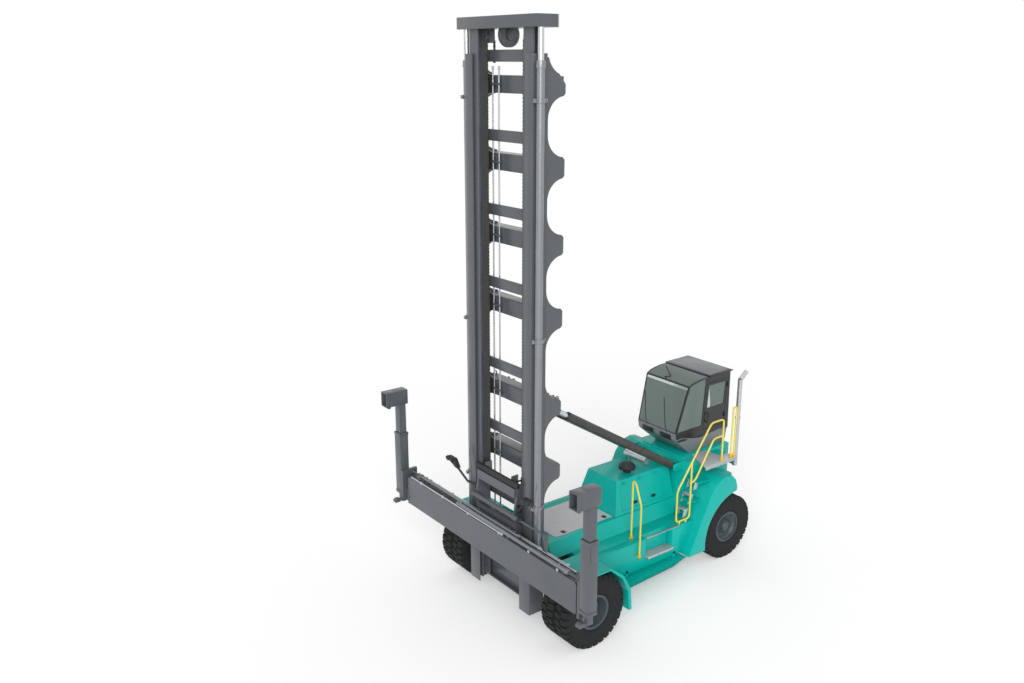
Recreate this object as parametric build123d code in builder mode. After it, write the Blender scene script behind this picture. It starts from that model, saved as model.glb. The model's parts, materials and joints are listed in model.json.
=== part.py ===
"""Empty container handler: a mast truck with a telescopic side-lift spreader.

Millimetres. X is the machine's left, the front faces -Y and Z is up. The origin is on the
ground in the middle of the machine's outline, and lengths along Y are measured from the
drive axle, whose place is DRIVE_AXLE_Y.
"""

import math
import os

from build123d import *

os.makedirs("parts", exist_ok=True)

# Whole machine
DRIVE_AXLE_Y = -1930
WHEELBASE = 4559
RUNNING_GAP = 0.3
MOVING_GAP = 8

# Wheels
TYRE_RADIUS = 719
TYRE_HALF_WIDTH = 172
BEAD_RADIUS = 320
BEAD_HALF_WIDTH = 130
RIM_LIP = 25
RIM_WALL = 22
TWIN_OUTER_X = 1855
TWIN_INNER_X = 1476
REAR_WHEEL_X = 1052
KINGPIN_X = 700
DRIVE_SPINDLE_RADIUS = 95
REAR_SPINDLE_RADIUS = 60
HUB_RADIUS = 190

# Axles
AXLE_HEIGHT = TYRE_RADIUS
AXLE_TUBE_RADIUS = 160
AXLE_TUBE_END_X = 1180
DIFF_RADIUS = 290
STEER_BEAM_HEIGHT = 200
STEER_BEAM_WIDTH = 260
STEER_BEAM_END_X = 610
KINGPIN_RADIUS = 40
KNUCKLE_ARM = 60

# Chassis and body
RAIL_INNER_X = 400
RAIL_OUTER_X = 600
RAIL_TOP = 1250
RAIL_BOTTOM = 720
DECK_TOP = 1530
DECK_TOP_HALF = 630
DECK_FOOT_HALF = 770
BODY_HALF = 1250
WALL_BOTTOM = 690
WALKWAY_FRONT_Y = 480
BULKHEAD_FOOT_Y = 3370
BULKHEAD_HEAD_Y = 3650
BULKHEAD_FOOT_Z = 420
PLATFORM_TOP = 2360
PLATFORM_PLATE = 30
WELL_TOP = 1520
SKIRT = 25
ARCH_RADIUS = 800
SPINE_HALF = 260
COUNTERWEIGHT_FRONT_Y = 4860
COUNTERWEIGHT_REAR_Y = 5300
COUNTERWEIGHT_HALF = 1000
TOW_PIN_RADIUS = 20

# Hood and engine
HOOD_FRONT_Y = 1800
HOOD_REAR_Y = 3480
HOOD_TOP_FRONT_Y = 1950
HOOD_TOP_REAR_Y = 3440
HOOD_FOOT_HALF = 596
HOOD_TOP_HALF = 430
HOOD_TOP = 2220
HOOD_WALL = 12

# Mast
MAST_BOTTOM = 390
OUTER_TOP = 10500
OUTER_FRONT_Y = -700
OUTER_REAR_Y = -390
OUTER_WEB_OUT = 955
OUTER_WEB_IN = 905
OUTER_FLANGE_IN = 760
OUTER_FLANGE = 40
INNER_FRONT_Y = -645
INNER_REAR_Y = -445
INNER_FLANGE = 35
INNER_FLANGE_IN = 640
INNER_FLANGE_OUT = 890
INNER_WEB_IN = 725
INNER_WEB_OUT = 765
INNER_BOTTOM = 470
CAP_BOTTOM = 10976
CAP_TOP = 11176
CAP_HALF = 1109
CAP_FRONT_Y = -763
CAP_REAR_Y = -192
PIVOT_Y = -290
PIVOT_Z = 620
PIVOT_RADIUS = 42
LIFT_X = 1038
LIFT_Y = -600
LIFT_ROD_RADIUS = 52
LIFT_TUBE_RADIUS = 68
LIFT_TUBE_TOP = 10400
LIFT_TUBE_BOTTOM = 760
LIFT_STROKE = 7900

# Tilt cylinders
TILT_X = 600
TILT_REAR_Y = 3415
TILT_REAR_Z = 2240
TILT_FRONT_Y = 50
TILT_FRONT_Z = 4290
TILT_BARREL_RADIUS = 85
TILT_ROD_RADIUS = 45
TILT_PIN_RADIUS = 35
TILT_STROKE_LEFT = 420

# Spreader
BEAM_FRONT_Y = -1091
BEAM_REAR_Y = -800
BEAM_HALF = 2718
BEAM_TOP = 2036
BEAM_BOTTOM = 1432
BEAM_WALL = 20
SLIDE_HEIGHT = 250
LEG_IN_X = 2870
LEG_OUT_X = 3090
LEG_FRONT_Y = -1160
LEG_REAR_Y = -960
LEG_BOTTOM = 1390
LEG_SLEEVE_TOP = 2960
LEG_WALL = 15
HEAD_FRONT_Y = -1440
HEAD_REAR_Y = -930
HEAD_BOTTOM = 3590
HEAD_TOP = 3900

# Cab
CAB_FLOOR = 2760
CAB_FRONT_FOOT_Y = 3540
CAB_SILL = 2910
CAB_ROOF_FRONT_Y = 3760
CAB_ROOF_FRONT_Z = 3925
CAB_ROOF_REAR_Y = 5030
CAB_ROOF_REAR_Z = 4050
CAB_REAR_FOOT_Y = 5150
CAB_WALL = 45
CAB_FOOT_HALF = 545
CAB_HEAD_HALF = 650
CAB_TAPER_FOOT = 2600
CAB_TAPER_HEAD = 4300

SIDE = Plane(origin=(0, DRIVE_AXLE_Y, 0), x_dir=(0, 1, 0), z_dir=(1, 0, 0))
FRONT = Plane(origin=(0, DRIVE_AXLE_Y, 0), x_dir=(1, 0, 0), z_dir=(0, -1, 0))
PLAN = Plane(origin=(0, DRIVE_AXLE_Y, 0), x_dir=(1, 0, 0), z_dir=(0, 0, 1))
SIDES = (("left", 1), ("right", -1))


def save(piece, name):
    """Label one finished piece and write it as its own file."""
    piece.part.label = name
    export_step(piece.part, f"parts/{name}.step")


def side_slab(points, x_from, x_to):
    """A slab between two places along X with a (y, z) outline."""
    with BuildPart() as slab:
        with BuildSketch(SIDE.offset(min(x_from, x_to))):
            with BuildLine():
                Polyline(*points, close=True)
            make_face()
        extrude(amount=abs(x_to - x_from))
    return slab.part


def block(x_range, y_range, z_range):
    """A plain box between named limits."""
    with BuildPart() as box:
        with BuildSketch(PLAN.offset(z_range[0])):
            with Locations(((x_range[0] + x_range[1]) / 2, (y_range[0] + y_range[1]) / 2)):
                Rectangle(abs(x_range[1] - x_range[0]), abs(y_range[1] - y_range[0]))
        extrude(amount=z_range[1] - z_range[0])
    return box.part


def rod_between(start, end, radius):
    """A round bar between two points given from the drive axle."""
    start = Vector(start[0], start[1] + DRIVE_AXLE_Y, start[2])
    end = Vector(end[0], end[1] + DRIVE_AXLE_Y, end[2])
    axis = end - start
    with BuildPart() as bar:
        with BuildSketch(Plane(origin=start, z_dir=axis)):
            Circle(radius)
        extrude(amount=axis.length)
    return bar.part


# Tyres and rims


def tyre(centre_x, centre_y):
    """One tyre round a wheel axis along X."""
    with BuildPart() as ring:
        with BuildSketch(Plane(origin=(centre_x, DRIVE_AXLE_Y + centre_y, AXLE_HEIGHT), x_dir=(1, 0, 0), z_dir=(0, -1, 0))):
            with BuildLine():
                Polyline(
                    (-BEAD_HALF_WIDTH, BEAD_RADIUS),
                    (-BEAD_HALF_WIDTH, BEAD_RADIUS + RIM_LIP + 5),
                    (-TYRE_HALF_WIDTH + 8, BEAD_RADIUS + 90),
                    (-TYRE_HALF_WIDTH, 520),
                    (-TYRE_HALF_WIDTH + 5, TYRE_RADIUS - 60),
                    (-TYRE_HALF_WIDTH + 35, TYRE_RADIUS),
                    (TYRE_HALF_WIDTH - 35, TYRE_RADIUS),
                    (TYRE_HALF_WIDTH - 5, TYRE_RADIUS - 60),
                    (TYRE_HALF_WIDTH, 520),
                    (TYRE_HALF_WIDTH - 8, BEAD_RADIUS + 90),
                    (BEAD_HALF_WIDTH, BEAD_RADIUS + RIM_LIP + 5),
                    (BEAD_HALF_WIDTH, BEAD_RADIUS),
                    close=True,
                )
            make_face()
        revolve(axis=Axis((centre_x, DRIVE_AXLE_Y + centre_y, AXLE_HEIGHT), (1, 0, 0)))
    return ring.part


def rim(centre_x, centre_y, disc_from, disc_to, bore):
    """A rim barrel with lips and a disc between two distances from its middle."""
    seat = BEAD_RADIUS - RUNNING_GAP
    lip = BEAD_HALF_WIDTH + RUNNING_GAP
    with BuildPart() as barrel:
        with BuildSketch(Plane(origin=(centre_x, DRIVE_AXLE_Y + centre_y, AXLE_HEIGHT), x_dir=(1, 0, 0), z_dir=(0, -1, 0))):
            with BuildLine():
                Polyline(
                    (-lip - 14, seat + RIM_LIP),
                    (-lip, seat + RIM_LIP),
                    (-lip, seat),
                    (lip, seat),
                    (lip, seat + RIM_LIP),
                    (lip + 14, seat + RIM_LIP),
                    (lip + 14, seat - RIM_WALL),
                    (-lip - 14, seat - RIM_WALL),
                    close=True,
                )
            make_face()
            with Locations(((disc_from + disc_to) / 2, (bore + seat - 5) / 2)):
                Rectangle(disc_to - disc_from, seat - 5 - bore)
        revolve(axis=Axis((centre_x, DRIVE_AXLE_Y + centre_y, AXLE_HEIGHT), (1, 0, 0)))
    return barrel.part


for hand, sign in SIDES:
    with BuildPart() as front_tyres:
        for wheel_x in (TWIN_OUTER_X, TWIN_INNER_X):
            add(tyre(sign * wheel_x, 0))
    save(front_tyres, f"front_tyres_{hand}")

    spindle_bore = DRIVE_SPINDLE_RADIUS + RUNNING_GAP
    hub_axis = Plane(origin=(0, DRIVE_AXLE_Y, AXLE_HEIGHT), z_dir=(sign, 0, 0))
    with BuildPart() as front_rims:
        add(rim(sign * TWIN_OUTER_X, 0, *sorted((-sign * 140, -sign * 105)), HUB_RADIUS - 20))
        add(rim(sign * TWIN_INNER_X, 0, *sorted((sign * 105, sign * 140)), HUB_RADIUS - 20))
        with BuildSketch(hub_axis.offset(TWIN_INNER_X + 100)):
            Circle(HUB_RADIUS + 60)
            Circle(spindle_bore, mode=Mode.SUBTRACT)
        extrude(amount=TWIN_OUTER_X - TWIN_INNER_X - 200)
        with BuildSketch(hub_axis.offset(TWIN_INNER_X - 60)):
            Circle(HUB_RADIUS)
            Circle(spindle_bore, mode=Mode.SUBTRACT)
        extrude(amount=TWIN_OUTER_X - TWIN_INNER_X - 100)
        with BuildSketch(hub_axis.offset(TWIN_OUTER_X - 160)):
            Circle(HUB_RADIUS)
        extrude(amount=190)
    save(front_rims, f"front_rims_{hand}")

    with BuildPart() as rear_tyre:
        add(tyre(sign * REAR_WHEEL_X, WHEELBASE))
    save(rear_tyre, f"rear_tyre_{hand}")

    rear_axis = Plane(origin=(0, DRIVE_AXLE_Y + WHEELBASE, AXLE_HEIGHT), z_dir=(sign, 0, 0))
    with BuildPart() as rear_rim:
        add(rim(sign * REAR_WHEEL_X, WHEELBASE, *sorted((sign * 30, sign * 60)), 100))
        with BuildSketch(rear_axis.offset(REAR_WHEEL_X - 60)):
            Circle(130)
        extrude(amount=170)
        with BuildSketch(rear_axis.offset(REAR_WHEEL_X - 60)):
            Circle(REAR_SPINDLE_RADIUS + RUNNING_GAP)
        extrude(amount=120, mode=Mode.SUBTRACT)
    save(rear_rim, f"rear_rim_{hand}")

    knuckle_plane = Plane(
        origin=(sign * KINGPIN_X, DRIVE_AXLE_Y + WHEELBASE, AXLE_HEIGHT), x_dir=(1, 0, 0), z_dir=(0, 0, 1)
    )
    arm_base = STEER_BEAM_HEIGHT / 2 + MOVING_GAP
    with BuildPart() as knuckle:
        for level in (arm_base, -arm_base - KNUCKLE_ARM):
            with BuildSketch(knuckle_plane.offset(level)):
                Circle(85)
                with Locations((sign * 90, 0)):
                    Rectangle(180, 170)
            extrude(amount=KNUCKLE_ARM)
        with BuildSketch(knuckle_plane.offset(-arm_base - KNUCKLE_ARM)):
            with Locations((sign * 150, 0)):
                Rectangle(60, 170)
        extrude(amount=2 * (arm_base + KNUCKLE_ARM))
        with BuildSketch(knuckle_plane.offset(-arm_base - KNUCKLE_ARM)):
            Circle(KINGPIN_RADIUS)
        extrude(amount=2 * (arm_base + KNUCKLE_ARM))
        with BuildSketch(rear_axis.offset(KINGPIN_X + 150)):
            Circle(REAR_SPINDLE_RADIUS)
        extrude(amount=REAR_WHEEL_X + 55 - KINGPIN_X - 150)
    save(knuckle, f"steering_knuckle_{hand}")

# Drive axle

with BuildPart() as drive_axle:
    cross = Plane(origin=(0, DRIVE_AXLE_Y, AXLE_HEIGHT), z_dir=(1, 0, 0))
    with BuildSketch(cross):
        Circle(AXLE_TUBE_RADIUS)
    extrude(amount=AXLE_TUBE_END_X, both=True)
    with BuildSketch(cross):
        Circle(DRIVE_SPINDLE_RADIUS)
    extrude(amount=TWIN_OUTER_X - 165, both=True)
    with BuildSketch(Plane(origin=(0, DRIVE_AXLE_Y, AXLE_HEIGHT), x_dir=(1, 0, 0), z_dir=(0, -1, 0))):
        with BuildLine():
            Polyline((-260, 0), (-260, 180), (-160, DIFF_RADIUS), (160, DIFF_RADIUS), (260, 180), (260, 0), close=True)
        make_face()
    revolve(axis=Axis((0, DRIVE_AXLE_Y, AXLE_HEIGHT), (1, 0, 0)))
    saddle_gap = RAIL_TOP - 300 - AXLE_HEIGHT
    for sign in (1, -1):
        add(block((sign * (RAIL_INNER_X + 20), sign * (RAIL_OUTER_X - 20)), (-120, 120), (AXLE_HEIGHT, AXLE_HEIGHT + saddle_gap)))
save(drive_axle, "drive_axle")

# Steer axle

with BuildPart() as steer_axle:
    beam_plane = Plane(origin=(0, DRIVE_AXLE_Y + WHEELBASE, AXLE_HEIGHT), x_dir=(1, 0, 0), z_dir=(0, 0, 1))
    with BuildSketch(beam_plane.offset(-STEER_BEAM_HEIGHT / 2)):
        Rectangle(2 * STEER_BEAM_END_X, STEER_BEAM_WIDTH)
        with Locations((KINGPIN_X - 40, 0), (-KINGPIN_X + 40, 0)):
            Rectangle(180, 150)
        with Locations((KINGPIN_X, 0), (-KINGPIN_X, 0)):
            Circle(75)
            Circle(KINGPIN_RADIUS + RUNNING_GAP, mode=Mode.SUBTRACT)
    extrude(amount=STEER_BEAM_HEIGHT)
    with BuildSketch(beam_plane.offset(STEER_BEAM_HEIGHT / 2)):
        Rectangle(240, 220)
    extrude(amount=950 - AXLE_HEIGHT - STEER_BEAM_HEIGHT / 2)
save(steer_axle, "steer_axle")

# Chassis: two front rails, a narrow rear spine between the steered wheels, and cross members

with BuildPart() as chassis:
    rail_points = (
        (-240, RAIL_TOP - 300),
        (230, RAIL_TOP - 300),
        (420, RAIL_BOTTOM),
        (3560, RAIL_BOTTOM),
        (3560, RAIL_TOP),
        (-240, RAIL_TOP),
    )
    for sign in (1, -1):
        add(side_slab(rail_points, sign * RAIL_INNER_X, sign * RAIL_OUTER_X))
    for y_from in (480, 1650, 3300):
        add(block((-RAIL_INNER_X, RAIL_INNER_X), (y_from, y_from + 160), (RAIL_BOTTOM + 60, RAIL_TOP - 60)))
    spine_points = (
        (3460, 950),
        (3460, RAIL_TOP),
        (3540, RAIL_TOP),
        (3540, 1500),
        (COUNTERWEIGHT_FRONT_Y, 1500),
        (COUNTERWEIGHT_FRONT_Y, 950),
    )
    add(side_slab(spine_points, -SPINE_HALF, SPINE_HALF))
    cheek_points = ((-240, RAIL_TOP), (-240, 800), (-335, 655), (-335, 585), (-290, 560), (-210, 560), (-210, 800), (-150, RAIL_TOP - 300))
    for sign in (1, -1):
        add(side_slab(cheek_points, sign * RAIL_INNER_X, sign * RAIL_OUTER_X))
        pin_plane = Plane(origin=(0, DRIVE_AXLE_Y + PIVOT_Y, PIVOT_Z), z_dir=(sign, 0, 0))
        with BuildSketch(pin_plane.offset(RAIL_OUTER_X - 60)):
            Circle(PIVOT_RADIUS)
        extrude(amount=160)
save(chassis, "chassis_frame")

# Body

rear_outline = (
    (BULKHEAD_FOOT_Y, BULKHEAD_FOOT_Z),
    (3780, 360),
    (WHEELBASE, AXLE_HEIGHT),
    (4780, 1610),
    (4740, 1950),
    (4570, 2250),
    (4400, PLATFORM_TOP - PLATFORM_PLATE),
    (BULKHEAD_HEAD_Y, PLATFORM_TOP - PLATFORM_PLATE),
)

with BuildPart() as deck:
    with BuildSketch(FRONT):
        with BuildLine():
            Polyline(
                (-DECK_FOOT_HALF, RAIL_TOP),
                (-DECK_TOP_HALF, DECK_TOP),
                (DECK_TOP_HALF, DECK_TOP),
                (DECK_FOOT_HALF, RAIL_TOP),
                close=True,
            )
        make_face()
    extrude(amount=-3600)
    with BuildSketch(PLAN.offset(RAIL_TOP)):
        with Locations((0, 2550)):
            Rectangle(2 * 380, 1340)
    extrude(amount=DECK_TOP - RAIL_TOP, mode=Mode.SUBTRACT)
    add(side_slab(rear_outline, -BODY_HALF, BODY_HALF), mode=Mode.SUBTRACT)
save(deck, "deck")


def bulkhead_y(z):
    """The slanting front of the rear body at a height."""
    share = (z - BULKHEAD_FOOT_Z) / (PLATFORM_TOP - PLATFORM_PLATE - BULKHEAD_FOOT_Z)
    return BULKHEAD_FOOT_Y + share * (BULKHEAD_HEAD_Y - BULKHEAD_FOOT_Y)


for hand, sign in SIDES:
    with BuildPart() as side_box:
        box_points = (
            (WALKWAY_FRONT_Y, RAIL_TOP - 100),
            (WALKWAY_FRONT_Y, RAIL_TOP),
            (bulkhead_y(RAIL_TOP), RAIL_TOP),
            (bulkhead_y(WALL_BOTTOM), WALL_BOTTOM),
            (WALKWAY_FRONT_Y + 330, WALL_BOTTOM),
        )
        add(side_slab(box_points, sign * RAIL_OUTER_X, sign * BODY_HALF))
        if sign > 0:
            add(block((1080, BODY_HALF), (2040, 2800), (830, RAIL_TOP)), mode=Mode.SUBTRACT)
    save(side_box, "side_tank_right" if sign < 0 else "side_tank_left")

with BuildPart() as steps:
    with BuildSketch(PLAN.offset(395)):
        with BuildLine():
            Polyline((1180, 1180), (1440, 1360), (1430, 2620), (1240, 3290), (1180, 3290), close=True)
        make_face()
    extrude(amount=25)
    for bracket_y in (1500, 2950):
        add(block((1180, 1215), (bracket_y, bracket_y + 60), (420, WALL_BOTTOM)))
    add(block((1080, 1360), (2045, 2795), (830, 855)))
    for level, y_place in ((1640, 3380), (2020, 3480)):
        add(block((880, 1240), (y_place, y_place + 260), (level, level + 30)))
    add(side_slab(rear_outline, -BODY_HALF, BODY_HALF), mode=Mode.SUBTRACT)
save(steps, "side_steps")

fender_points = (
    (-560, 1225),
    (-330, 1480),
    (330, 1480),
    (640, 1210),
    (790, 900),
    (830, 480),
    (900, 480),
    (860, 920),
    (680, 1250),
    (350, 1510),
    (-345, 1510),
    (-585, 1245),
)
for hand, sign in SIDES:
    with BuildPart() as fender:
        add(side_slab(fender_points, sign * BODY_HALF, sign * (BODY_HALF + 800)))
    save(fender, f"front_fender_{hand}")

with BuildPart() as rear_body:
    add(side_slab(rear_outline, -BODY_HALF, BODY_HALF))
    with BuildSketch(SIDE.offset(-BODY_HALF)):
        with Locations((WHEELBASE, AXLE_HEIGHT)):
            Circle(ARCH_RADIUS)
    extrude(amount=2 * BODY_HALF, mode=Mode.SUBTRACT)
    well_half = BODY_HALF - SKIRT
    well_points = (
        (3650, 300),
        (3650, WELL_TOP),
        (5600, WELL_TOP),
        (5600, 300),
    )
    add(side_slab(well_points, -well_half, well_half), mode=Mode.SUBTRACT)
    add(block((-RAIL_OUTER_X - 1, RAIL_OUTER_X + 1), (3300, 3655), (300, RAIL_TOP + 1)), mode=Mode.SUBTRACT)
    add(block((-SPINE_HALF - 1, SPINE_HALF + 1), (3300, 3660), (900, 1501)), mode=Mode.SUBTRACT)
    for sign in (1, -1):
        lug_points = ((3700, 2120), (3420, 2150), (3340, 2200), (3340, 2290), (3400, 2320), (3700, 2320))
        for inner in (TILT_X - 90, TILT_X + 66):
            add(side_slab(lug_points, sign * inner, sign * (inner + 24)))
        pin_plane = Plane(origin=(0, DRIVE_AXLE_Y + TILT_REAR_Y, TILT_REAR_Z), z_dir=(sign, 0, 0))
        with BuildSketch(pin_plane.offset(TILT_X - 100)):
            Circle(TILT_PIN_RADIUS)
        extrude(amount=200)
save(rear_body, "rear_body")

with BuildPart() as counterweight:
    add(block((-COUNTERWEIGHT_HALF, COUNTERWEIGHT_HALF), (COUNTERWEIGHT_FRONT_Y, COUNTERWEIGHT_REAR_Y), (WELL_TOP, 2250)))
    add(block((-SPINE_HALF, SPINE_HALF), (COUNTERWEIGHT_FRONT_Y, COUNTERWEIGHT_REAR_Y), (800, WELL_TOP)))
    add(block((-COUNTERWEIGHT_HALF, COUNTERWEIGHT_HALF), (4300, COUNTERWEIGHT_FRONT_Y), (WELL_TOP, 1700)))
    add(block((-700, 700), (4600, 5180), (1700, PLATFORM_TOP - PLATFORM_PLATE)))
    add(side_slab(rear_outline, -BODY_HALF, BODY_HALF), mode=Mode.SUBTRACT)
    add(block((-90, 90), (COUNTERWEIGHT_REAR_Y - 120, COUNTERWEIGHT_REAR_Y), (870, 1000)), mode=Mode.SUBTRACT)
    add(rod_between((0, COUNTERWEIGHT_REAR_Y - 60, 800), (0, COUNTERWEIGHT_REAR_Y - 60, 1100), TOW_PIN_RADIUS), mode=Mode.SUBTRACT)
save(counterweight, "counterweight")

with BuildPart() as platform:
    add(block((-BODY_HALF, BODY_HALF), (BULKHEAD_HEAD_Y, 4400), (PLATFORM_TOP - PLATFORM_PLATE, PLATFORM_TOP)))
    add(block((-700, 700), (4390, 5180), (PLATFORM_TOP - PLATFORM_PLATE, PLATFORM_TOP)))
    for sign in (1, -1):
        add(block((sign * 690, sign * BODY_HALF), (4390, 4750), (PLATFORM_TOP - PLATFORM_PLATE, PLATFORM_TOP)))
save(platform, "platform")

# Hood, its side doors, and the engine


def hood_form(inset):
    """The hood's outer form, drawn in by an inset on its sides and top."""
    with BuildPart() as form:
        with BuildSketch(PLAN.offset(DECK_TOP)):
            with Locations((0, (HOOD_FRONT_Y + HOOD_REAR_Y) / 2)):
                Rectangle(2 * (HOOD_FOOT_HALF - inset), HOOD_REAR_Y - HOOD_FRONT_Y - 2 * inset)
        with BuildSketch(PLAN.offset(HOOD_TOP - inset)):
            with Locations((0, (HOOD_TOP_FRONT_Y + HOOD_TOP_REAR_Y) / 2)):
                Rectangle(2 * (HOOD_TOP_HALF - inset), HOOD_TOP_REAR_Y - HOOD_TOP_FRONT_Y - 2 * inset)
        loft()
    return form.part


DOOR_FRONT_Y = 2000
DOOR_REAR_Y = 3180
DOOR_FOOT = 1600
DOOR_HEAD = 2140
hood_shell = hood_form(0)
hood_void = hood_form(HOOD_WALL)
hood_slope = (HOOD_FOOT_HALF - HOOD_TOP_HALF) / (HOOD_TOP - DECK_TOP)
HINGE_PIN = 8
HINGE_BARREL = 15
hood_hinge_x = HOOD_FOOT_HALF - hood_slope * (DOOR_HEAD - DECK_TOP) + 20
HOOD_HINGES = (2100, 2540, 2980)
with BuildPart() as hood:
    add(hood_shell)
    add(hood_void, mode=Mode.SUBTRACT)
    add(block((-700, 700), (DOOR_FRONT_Y, DOOR_REAR_Y), (DOOR_FOOT, DOOR_HEAD)), mode=Mode.SUBTRACT)
    for sign in (1, -1):
        for hinge_y in HOOD_HINGES:
            hinge_start = (sign * hood_hinge_x, hinge_y, DOOR_HEAD)
            add(rod_between(hinge_start, (hinge_start[0], hinge_y + 80, DOOR_HEAD), HINGE_PIN))
            add(rod_between(hinge_start, (hinge_start[0], hinge_y + 39, DOOR_HEAD), HINGE_BARREL))
            lug = block(
                (sign * (hood_hinge_x - 30), sign * (hood_hinge_x + 10)),
                (hinge_y, hinge_y + 39),
                (DOOR_HEAD + 5, DOOR_HEAD + 30),
            )
            add(lug)
save(hood, "engine_hood")
for hand, sign in SIDES:
    with BuildPart() as door:
        add(hood_shell)
        add(hood_void, mode=Mode.SUBTRACT)
        window = block((sign * 300, sign * 700), (DOOR_FRONT_Y + 5, DOOR_REAR_Y - 5), (DOOR_FOOT + 5, DOOR_HEAD - 1))
        add(window, mode=Mode.INTERSECT)
        for hinge_y in HOOD_HINGES:
            leaf = block(
                (sign * (hood_hinge_x - 24), sign * (hood_hinge_x + 12)),
                (hinge_y + 40, hinge_y + 80),
                (DOOR_HEAD - 30, DOOR_HEAD - 5),
            )
            add(leaf)
            barrel_start = (sign * hood_hinge_x, hinge_y + 40, DOOR_HEAD)
            barrel_end = (sign * hood_hinge_x, hinge_y + 80, DOOR_HEAD)
            add(rod_between(barrel_start, barrel_end, HINGE_BARREL))
            add(rod_between(barrel_start, barrel_end, HINGE_PIN + RUNNING_GAP), mode=Mode.SUBTRACT)
    save(door, f"hood_door_{hand}")

with BuildPart() as engine:
    add(block((-370, 370), (1990, 3140), (1000, 2080)))
    foot_reach = RAIL_INNER_X - RUNNING_GAP
    for foot_y in (2050, 2950):
        add(block((-foot_reach, foot_reach), (foot_y, foot_y + 120), (1000, 1080)))
save(engine, "engine_block")

with BuildPart() as cleaner:
    with BuildSketch(Plane(origin=(200, DRIVE_AXLE_Y + 2460, 0), x_dir=(1, 0, 0), z_dir=(0, -1, 0))):
        with BuildLine():
            Polyline((0, HOOD_TOP), (75, HOOD_TOP), (75, 2310), (175, 2330), (175, 2390), (120, 2440), (0, 2450), close=True)
        make_face()
    revolve(axis=Axis((200, DRIVE_AXLE_Y + 2460, 0), (0, 0, 1)))
save(cleaner, "air_precleaner")

with BuildPart() as muffler:
    add(rod_between((-340, 2960, 2370), (280, 2960, 2370), 85))
    for foot_x in (-260, 160):
        add(block((foot_x, foot_x + 40), (2930, 2990), (HOOD_TOP, 2330)))
save(muffler, "muffler")

with BuildPart() as exhaust:
    stack_x = 1175
    add(rod_between((stack_x, 4705, PLATFORM_TOP), (stack_x, 4705, 4060), 50))
    add(rod_between((stack_x, 4705, 4060), (stack_x, 4885, 4200), 50))
save(exhaust, "exhaust_stack")

# Cab


def cab_form(inset):
    """The cab's closed outer form, drawn in by an inset."""
    outline_points = (
        (CAB_FRONT_FOOT_Y + inset, CAB_FLOOR + (inset and CAB_WALL)),
        (CAB_FRONT_FOOT_Y + inset, CAB_SILL),
        (CAB_ROOF_FRONT_Y + inset, CAB_ROOF_FRONT_Z - inset),
        (CAB_ROOF_REAR_Y - inset, CAB_ROOF_REAR_Z - inset),
        (CAB_REAR_FOOT_Y - inset, CAB_FLOOR + (inset and CAB_WALL)),
    )
    with BuildPart() as form:
        add(side_slab(outline_points, -800, 800))
        with BuildSketch(FRONT.offset(-3000)):
            with BuildLine():
                Polyline(
                    (inset - CAB_FOOT_HALF, CAB_TAPER_FOOT),
                    (inset - CAB_HEAD_HALF, CAB_TAPER_HEAD),
                    (CAB_HEAD_HALF - inset, CAB_TAPER_HEAD),
                    (CAB_FOOT_HALF - inset, CAB_TAPER_FOOT),
                    close=True,
                )
            make_face()
        extrude(amount=-2600, mode=Mode.INTERSECT)
    return form.part


cab_outer = cab_form(0)
cab_inner = cab_form(CAB_WALL)
DOOR_Y = (4330, 4985)
DOOR_Z = (2830, 3900)
cab_door_cut = block((500, 900), DOOR_Y, DOOR_Z)
cab_door_fill = block((500, 900), (DOOR_Y[0] + 6, DOOR_Y[1] - 6), (DOOR_Z[0] + 6, DOOR_Z[1] - 6))
door_window = block((300, 900), (DOOR_Y[0] + 80, DOOR_Y[1] - 70), (3300, DOOR_Z[1] - 70))
side_window = block((300, 900), (3800, 4250), (CAB_SILL + 60, 3830))
windscreen = block((-470, 470), (3300, 3830), (CAB_SILL + 50, 3860))
roof_window = block((-500, 500), (3850, 4400), (3700, 4400))
rear_window = block((-450, 450), (4900, 5300), (3250, 3900))
far_window = block((-900, -300), (DOOR_Y[0] + 80, DOOR_Y[1] - 70), (3300, DOOR_Z[1] - 70))
far_front_window = block((-900, -300), (3800, 4250), (CAB_SILL + 60, 3830))
def cab_half(z):
    """The cab's outer half width at a height."""
    share = (z - CAB_TAPER_FOOT) / (CAB_TAPER_HEAD - CAB_TAPER_FOOT)
    return CAB_FOOT_HALF + share * (CAB_HEAD_HALF - CAB_FOOT_HALF)


DOOR_HINGE_OUT = 20
DOOR_HINGES = (3000, 3700)


def cab_hinge(z_from, z_to, radius):
    """A round piece on the cab door's slanting hinge line."""
    ends = [(cab_half(z) + DOOR_HINGE_OUT, DOOR_Y[1] - 3, z) for z in (z_from, z_to)]
    return rod_between(*ends, radius)


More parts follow.
